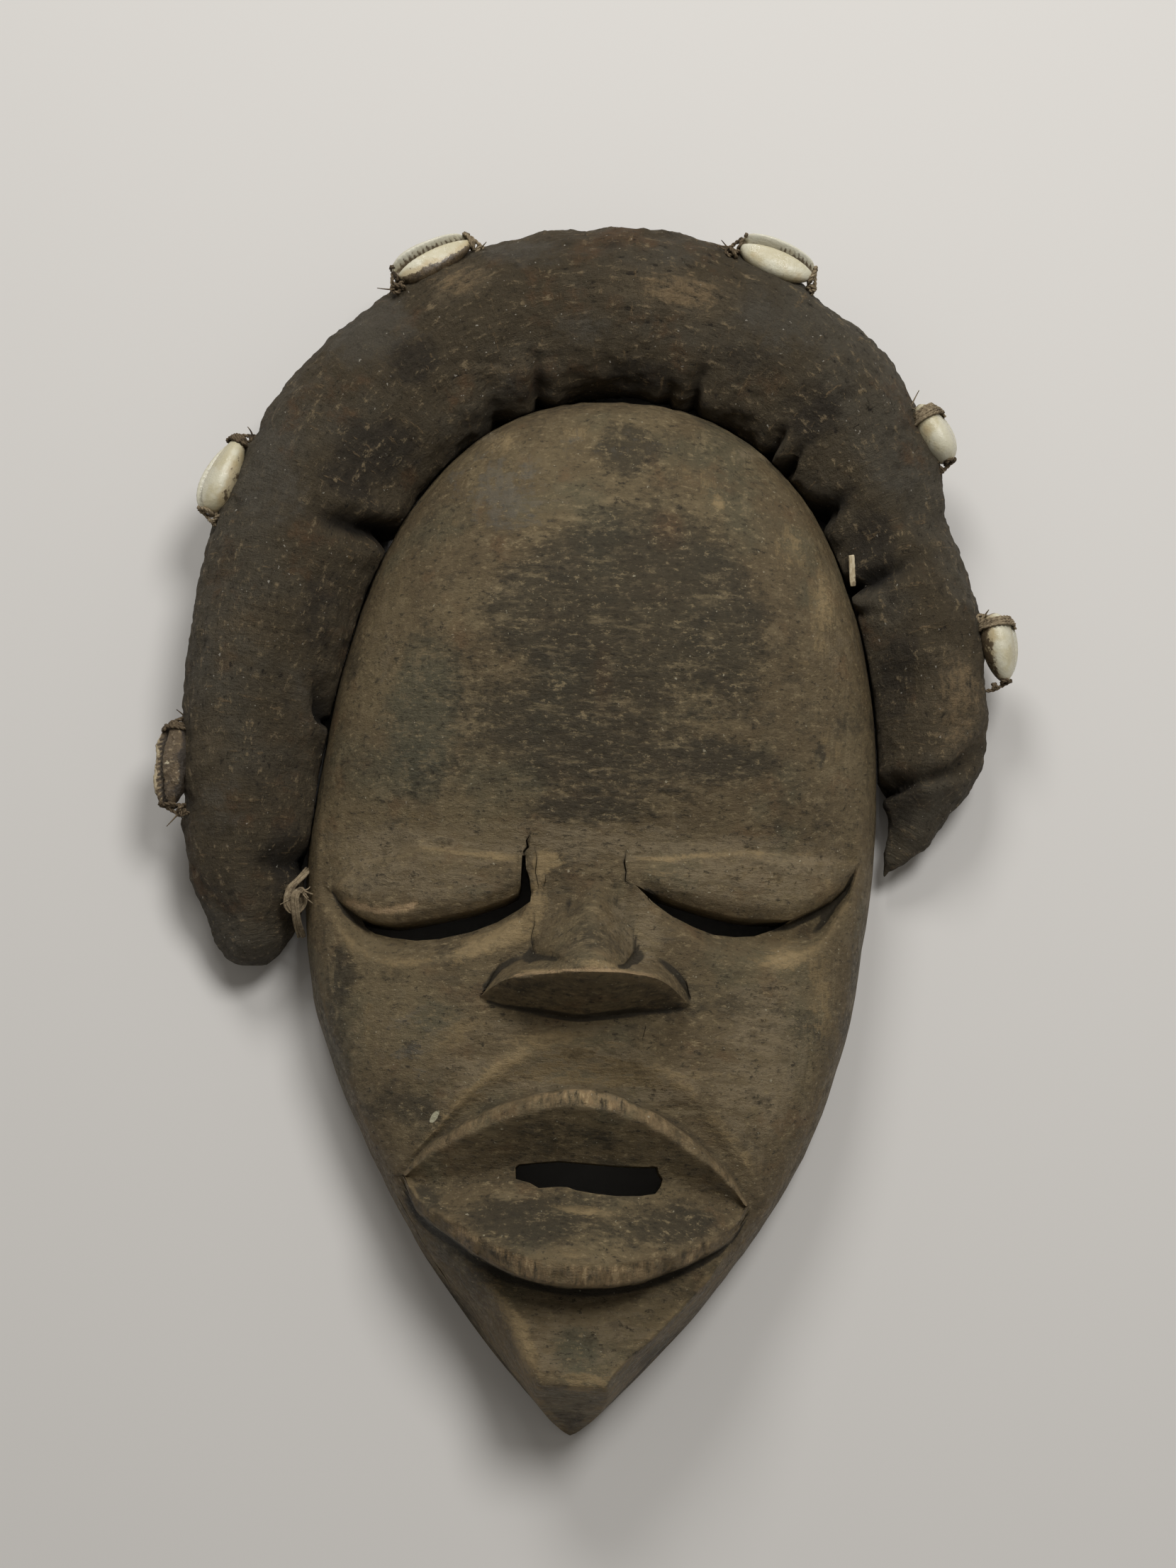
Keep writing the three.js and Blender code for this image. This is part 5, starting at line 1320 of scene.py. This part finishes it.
def shell_piece(name, shell):
    """One closed shell, laid as a sheet of rings from tip to tip that starts and ends under it."""
    t = np.linspace(-1, 1, SHELL_COLUMNS)
    phi = (math.pi * np.sign(t) * np.abs(t) ** 1.5)[None, :]
    s = -np.cos(np.linspace(0, math.pi, SHELL_ROWS))[:, None] + 0 * phi
    wide, thick = girth(shell, s)
    full = np.minimum(1, 2 * thick / SHELL_THICK)
    along_mm = s * shell["length"] / 2
    side_mm = wide * np.sin(phi)

    # The slot runs down the flattened face between a low inner lip and a proud outer one
    face = ease(0, 0.5, np.cos(phi))
    off = side_mm - 0.7 * np.sin(1.6 * s) - 0.2
    outer = off > 0
    half_slot = 0.7 + 0.45 * s**2
    past = np.abs(off) - half_slot
    inside = face * np.exp(-((np.abs(off) / (1.2 * half_slot)) ** 4))
    sunk = SLOT_DEPTH * shell["slot"] * inside * ease(1, 0.9, np.abs(s)) * np.minimum(1, 1.3 * full)
    lips = face * np.exp(-(((past - 1.0) / 0.95) ** 2)) * np.where(outer, OUTER_LIP, INNER_LIP) * full
    rim = face * np.exp(-(((past - 2.5) / 0.5) ** 2)) * outer * full
    teeth = face * np.cos(2 * math.pi * (along_mm + 1.2 * np.abs(off)) / TOOTH_GAP)
    teeth *= band(*shell["toothed"], 0.08, s)
    teeth *= np.exp(-((past / np.where(outer, shell["rib"], 0.4)) ** 2))
    caked = dapple(along_mm, side_mm, 2.4, 2, 12) + 0.5 * dapple(along_mm, side_mm, 1, 1, 13)
    out_mm = thick * np.cos(phi) * (1 - 0.16 * face) + shell["crust"] * caked * full
    out_mm += lips + TOOTH_HEIGHT * teeth - RIM_GROOVE * rim - sunk

    places = on_shell(shell, along_mm, side_mm, out_mm)
    centre, _, _, out = shell_seat(shell)
    above_cloth = (places - centre) @ out
    # The slot's share is dirt and painted shade in the slot, between the teeth and in the groove
    shares = {
        "slot_dirt_and_shade": np.clip(inside + 0.75 * np.clip(-teeth, 0, 1) + 0.25 * rim, 0, 1),
        "cloth_dirt": shell["dirt"] * ease(1.2, -2.3, above_cloth) + 0.8 * ease(0.88, 1, np.abs(s)),
        "ribs": np.clip(teeth, 0, 1),
        "pale_side": np.clip(lips, 0, 1),
    }
    shape = bmesh.new()
    add_sheet(shape, places)
    for name_of_share, values in shares.items():
        layer = shape.verts.layers.float.new(name_of_share)
        for vertex in shape.verts:
            vertex[layer] = values[divmod(vertex.index, SHELL_COLUMNS)]
    bmesh.ops.remove_doubles(shape, verts=shape.verts, dist=1e-5)
    bmesh.ops.recalc_face_normals(shape, faces=shape.faces)
    piece = add_piece(name, shape)
    piece.data.shade_smooth()
    return piece


glaze = Paint("cream_cowrie", (0.50, 0.45, 0.30), 0.24)
specks = glaze.cloud(1.1, 5, roughness=0.7, shift=1.3)
stains = glaze.cloud(3.2, 6, roughness=0.72, shift=5.1)
glaze.wash((0.60, 0.57, 0.44), glaze.cloud(8, 3), 0.45, 0.6, 0.8)
glaze.wash((0.60, 0.58, 0.48), glaze.attribute("pale_side"), 0.1, 0.7, 0.7)
glaze.coat((0.42, 0.31, 0.15), glaze.broken("cloth_dirt", glaze.cloud(6, 3), 0.6, 0.55, 0.85))
glaze.wash((0.12, 0.082, 0.045), specks, 0.66, 0.71, 0.8)
# Dirt and painted shade in the slot
glaze.coat((0.10, 0.068, 0.037), glaze.broken("slot_dirt_and_shade", stains, 0.9, 0.74, 1.0))
glaze.coat((0.085, 0.058, 0.032), glaze.broken("cloth_dirt", stains, 0.95, 0.8, 0.9))
glaze.coat((0.04, 0.028, 0.016), glaze.broken("cloth_dirt", specks, 0.8, 0.93, 1.08))
glaze.raise_by(stains, 0.25)
glaze.raise_by(specks, 0.12)
glaze.finish(glaze.window(stains, 0.4, 0.7, 0.6, 0.16))

crusted = Paint("brown_cowrie", (0.115, 0.08, 0.043), 0.5)
pits = crusted.cloud(1.6, 6, roughness=0.72, shift=2.3)
lumps_of_dirt = crusted.cloud(4.5, 6, roughness=0.7, shift=7.7)
crusted.wash((0.05, 0.034, 0.019), lumps_of_dirt, 0.48, 0.6, 0.85)
crusted.wash((0.3, 0.225, 0.13), pits, 0.53, 0.64, 0.85)
crusted.coat((0.34, 0.26, 0.15), crusted.broken("ribs", pits, 0.8, 0.62, 0.9))
# Dirt and painted shade in the slot
crusted.coat((0.035, 0.025, 0.015), crusted.broken("slot_dirt_and_shade", pits, 0.9, 0.76, 1.02))
bare = crusted.cloud(2.6, 3, shift=9.2)
crusted.coat((0.5, 0.41, 0.26), crusted.broken("pale_side", bare, 0.85, 0.93, 1.02))
crusted.wash((0.55, 0.48, 0.33), crusted.cloud(3.4, 4, shift=12.2), 0.64, 0.67, 0.85)
crusted.coat((0.03, 0.022, 0.014), crusted.broken("cloth_dirt", lumps_of_dirt, 0.9, 0.84, 0.97))
crusted.raise_by(pits, 0.7)
crusted.raise_by(lumps_of_dirt, 1.2)
crusted.finish(crusted.window(pits, 0.3, 0.6, 0.35, 0.75))

for number, shell in enumerate(SHELLS, 1):
    cowrie = shell_piece(f"sewn_cowrie_{number}", shell)
    cowrie.data.materials.append(crusted.material if number == 1 else glaze.material)
    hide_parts(f"cowrie_{number}")
    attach(cowrie, "root")


# Each shell is tied at both ends with thread of two twisted plies of plant fibre: some turns
# round the shell's end, a knot beside it, a stitch down into the cloth and frayed ends.
PLY_RADIUS, PLY_SPREAD, PLY_PITCH, PLIES = 0.33, 0.3, 2.6, 2
KNOT_REACH, KNOT_DROP, KNOT_POINTS = 0.5, 3.3, 60
TURN_POINTS, LEAD_POINTS, FRAY_POINTS = 26, 10, 9
random_fibre = np.random.default_rng(31)


def laid_through(points, count):
    """A smooth path of count places through a few points."""
    t = np.linspace(0, len(points) - 1, count)
    columns = np.array(points, dtype=float).T
    return np.stack([through(list(enumerate(column)))(t) for column in columns], axis=1)


def unit(vectors):
    return vectors / np.maximum(np.linalg.norm(vectors, axis=-1, keepdims=True), 1e-9)


def twisted(path):
    """The paths of the plies that are twisted round one path, with their shares of the radius."""
    heading = unit(np.gradient(path, axis=0))
    run = np.concatenate([[0], np.cumsum(np.linalg.norm(np.diff(path, axis=0), axis=1))])
    first = unit(np.cross(heading, (0.31, 0.21, 0.93)))
    second = np.cross(heading, first)
    for ply in range(PLIES):
        turn = 2 * math.pi * (run / PLY_PITCH + ply / PLIES)[:, None]
        yield path + PLY_SPREAD * (first * np.cos(turn) + second * np.sin(turn)), np.ones(len(path))


def frayed(start, heading, length):
    """A loose end that bends as it goes and thins out to its tip."""
    bend = random_fibre.normal(0, 0.6, 3)
    t = np.linspace(0, 1, FRAY_POINTS)[:, None]
    path = start + unit(np.asarray(heading, dtype=float)) * length * t + bend * length * t**2
    return path, 0.95 - 0.6 * t[:, 0]


def fibre_piece(name, fibres, material, radius=PLY_RADIUS):
    """One mesh of fibres, each a path in the carver's frame with its share of the radius."""
    curve = bpy.data.curves.new(name, "CURVE")
    curve.dimensions = "3D"
    curve.bevel_depth = MM * radius
    curve.bevel_resolution = 1
    curve.use_fill_caps = True
    for path, shares in fibres:
        spline = curve.splines.new("POLY")
        spline.points.add(len(path) - 1)
        for point, place, share in zip(spline.points, world(path), shares):
            point.co = (*place, 1)
            point.radius = share
    drawn = bpy.data.objects.new(name + "_path", curve)
    bpy.context.scene.collection.objects.link(drawn)
    mesh = bpy.data.meshes.new_from_object(evaluated(drawn))
    bpy.data.objects.remove(drawn)
    piece = bpy.data.objects.new(name, mesh)
    bpy.context.scene.collection.objects.link(piece)
    mesh.shade_smooth()
    mesh.materials.clear()
    mesh.materials.append(material)
    return piece


def fibre_paint(name, base, light, dark):
    fibre = Paint(name, base, 0.85, 0.2)
    strands = fibre.cloud(1.2, 5, roughness=0.7, shift=3.3)
    fibre.wash(light, strands, 0.5, 0.66, 0.9)
    fibre.wash(dark, fibre.cloud(4, 5, roughness=0.7, shift=6.4), 0.5, 0.64, 0.85)
    fibre.wash(dark, strands, 0.44, 0.34, 0.7)
    fibre.raise_by(strands, 0.4)
    return fibre.finish(fibre.window(strands, 0.3, 0.7, 0.75, 0.95))


tan_fibre = fibre_paint("tan_fibre", (0.22, 0.17, 0.105), (0.36, 0.29, 0.19), (0.06, 0.043, 0.026))
brown_fibre = fibre_paint("brown_fibre", (0.105, 0.076, 0.045), (0.2, 0.15, 0.09), (0.025, 0.018, 0.012))

# For each end: which end, its turns and where they start and stop along the shell, how large
# the knot is, how far it sits towards the front, how many loose ends it has, and its fibre
TIES = {
    "1_a": (-1, 2, 0.93, 0.985, 1.9, 2, 4, brown_fibre),
    "1_b": (1, 3, 0.78, 0.95, 1.5, 0.5, 2, brown_fibre),
    "2_a": (-1, 2, 0.95, 0.99, 2.1, 1.5, 2, tan_fibre),
    "2_b": (1, 5, 0.8, 0.985, 1.4, 0.5, 1, brown_fibre),
    "3_a": (-1, 1, 0.95, 0.985, 2.3, 4.2, 4, brown_fibre),
    "3_b": (1, 3, 0.9, 0.99, 1.6, 0.5, 2, tan_fibre),
    "4_a": (-1, 2, 0.93, 0.985, 1.6, 1, 2, tan_fibre),
    "4_b": (1, 1, 0.95, 0.985, 1.4, 0, 1, brown_fibre),
    "5_a": (-1, 1, 0.94, 0.98, 2.2, 3.4, 3, brown_fibre),
    "5_b": (1, 2, 0.94, 0.99, 1.4, 0, 1, tan_fibre),
    "6_a": (-1, 6, 0.36, 0.76, 2.0, 2, 3, tan_fibre),
    "6_b": (1, 1, 0.97, 0.99, 0.9, 0, 0, brown_fibre),
    "7_a": (-1, 4, 0.5, 0.76, 2.0, 2.5, 2, tan_fibre),
    "7_b": (1, 1, 0.97, 0.99, 0.9, 0, 0, brown_fibre),
}

for ending, (end, turns, first, last, knot, toward, loose, material) in TIES.items():
    shell = SHELLS[int(ending[0]) - 1]
    centre, along, side, out = shell_seat(shell)
    onward = along * end
    turn = np.linspace(0, 2 * math.pi * turns, TURN_POINTS * turns)
    s = end * (first + (last - first) * turn / turn[-1] + 0.012 * np.sin(2.3 * turn + end))
    wide, thick = np.add(girth(shell, s), PLY_RADIUS + PLY_SPREAD)
    coil = on_shell(shell, s * shell["length"] / 2, wide * np.sin(turn), thick * np.cos(turn))
    reach = shell["length"] / 2 * (1 if last > 0.9 else last) + KNOT_REACH
    seat = centre + onward * reach - out * KNOT_DROP - side * toward
    t = np.linspace(0, 2 * math.pi, KNOT_POINTS)
    ring = 2 + np.cos(3 * t)
    loops = knot * 0.85 / 3 * np.stack([ring * np.cos(2 * t), ring * np.sin(2 * t), 1.5 * np.sin(3 * t)])
    tangle = seat + loops.T @ np.stack([onward, side, out])
    lead = laid_through([coil[-1], (coil[-1] + tangle[0]) / 2, tangle[0]], LEAD_POINTS)
    stitch = [tangle[-1], seat + onward * 0.8 - out * 1.6, seat + onward * 0.4 - out * 4.5]
    path = np.vstack([coil[:-1], lead, tangle[1:-1], laid_through(stitch, LEAD_POINTS)])
    fibres = list(twisted(path))
    for _ in range(loose):
        heading = onward * random_fibre.uniform(0.2, 1) + side * random_fibre.uniform(-1, 0.6)
        heading = heading + out * random_fibre.uniform(-0.3, 0.8)
        fibres.append(frayed(seat + unit(heading) * knot * 0.7, heading, random_fibre.uniform(1.2, 2.8)))
    tie = fibre_piece(f"tie_{ending}", fibres, material)
    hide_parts(f"thread_{ending}")
    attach(tie, "root")


# The roll's left end is tied down to the wood by a strip of raffia, folded over and knotted.
# Its seven strands lie side by side, and six torn ends stand off it.
STRIP_PATH = [
    (-78.2, 146.5, 20), (-79.6, 143.5, 25.2), (-82.2, 140, 27.2), (-82.6, 136, 26.4),
    (-80.6, 134.2, 25), (-78.6, 136.6, 24.6), (-79, 140, 26.6), (-80.8, 137.6, 27.6),
    (-80.4, 132, 24), (-79.4, 128.4, 17),
]
STRIP_POINTS, STRIP_STRANDS, STRIP_ENDS, STRIP_RADIUS, STRIP_SWAY = 90, 7, 6, 0.36, 0.25
STRIP_TORN_AT = 60
strip_line = laid_through(STRIP_PATH, STRIP_POINTS)
run = np.linspace(0, 1, STRIP_POINTS)
strip_fibres = []
for k in range(STRIP_STRANDS):
    sway = STRIP_SWAY * np.stack([np.sin(9 * run + k), np.cos(7 * run + 2 * k), 0 * run], axis=1)
    beside = (0.28 * (k - STRIP_STRANDS // 2), 0.1 * (k % 3), 0.12 * (k % 2))
    strip_fibres.append((strip_line + beside + sway, np.ones(STRIP_POINTS)))
for _ in range(STRIP_ENDS):
    heading = random_fibre.normal(0, 1, 3) + (0, -1, 0.6)
    strip_fibres.append(frayed(strip_line[STRIP_TORN_AT], heading, random_fibre.uniform(2, 4)))
lashing = fibre_piece("raffia_strip", strip_fibres, tan_fibre, radius=STRIP_RADIUS)
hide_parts("lashing_left")
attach(lashing, "root")


# A split sliver of bamboo is pushed in between roll and wood at the right. It is a short bar
# with crisp edges, a little bent, narrower at both ends and thinner at the top.
PIN_LENGTH, PIN_WIDE, PIN_THICK, PIN_LEAN, PIN_DIP = 8.5, 1.7, 1.2, 0.2, 0.3
PIN_PLACE = (65, 235.4, 27.2)
sliver = bmesh.new()
bmesh.ops.create_cube(sliver, size=1)
bmesh.ops.scale(sliver, verts=sliver.verts, vec=(PIN_WIDE, PIN_LENGTH, PIN_THICK))
long_edges = [edge for edge in sliver.edges if edge.calc_length() > 5]
bmesh.ops.subdivide_edges(sliver, edges=long_edges, cuts=14, use_grid_fill=True)
sharp_edges = [edge for edge in sliver.edges if edge.calc_face_angle(0) > 1]
bmesh.ops.bevel(sliver, geom=sharp_edges, affect="EDGES", offset=0.22, segments=2, profile=0.5,
                material=-1)
for vertex in sliver.verts:
    up_share = vertex.co.y / PIN_LENGTH
    vertex.co.x *= 1 - 0.25 * abs(up_share) + 0.12 * noise.noise(vertex.co * 0.9)
    vertex.co.z *= 1 - 0.3 * max(0, up_share)
    vertex.co.x += 0.35 * math.sin(2.5 * up_share)
pin_turn = Matrix.Rotation(PIN_DIP, 3, "X") @ Matrix.Rotation(PIN_LEAN, 3, "Z")
bmesh.ops.rotate(sliver, verts=sliver.verts, matrix=pin_turn)
for vertex in sliver.verts:
    vertex.co = world(np.array(vertex.co) + PIN_PLACE)
bmesh.ops.recalc_face_normals(sliver, faces=sliver.faces)
pin = add_piece("bamboo_sliver", sliver)
pin.data.shade_smooth()
pin.data.set_sharp_from_angle(angle=math.radians(50))
bamboo = Paint("split_bamboo", (0.42, 0.34, 0.21), 0.55, 0.3)
lines = bamboo.cloud(1.1, 4, stretch=(1, 0.08, 1), roughness=0.7)
bamboo.wash((0.6, 0.52, 0.36), lines, 0.48, 0.6, 0.8)
bamboo.wash((0.16, 0.11, 0.06), bamboo.cloud(2.5, 5, shift=4.2), 0.54, 0.66, 0.8)
bamboo.raise_by(lines, 0.4)
pin.data.materials.append(bamboo.finish())
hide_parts("pin_right")
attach(pin, "root")
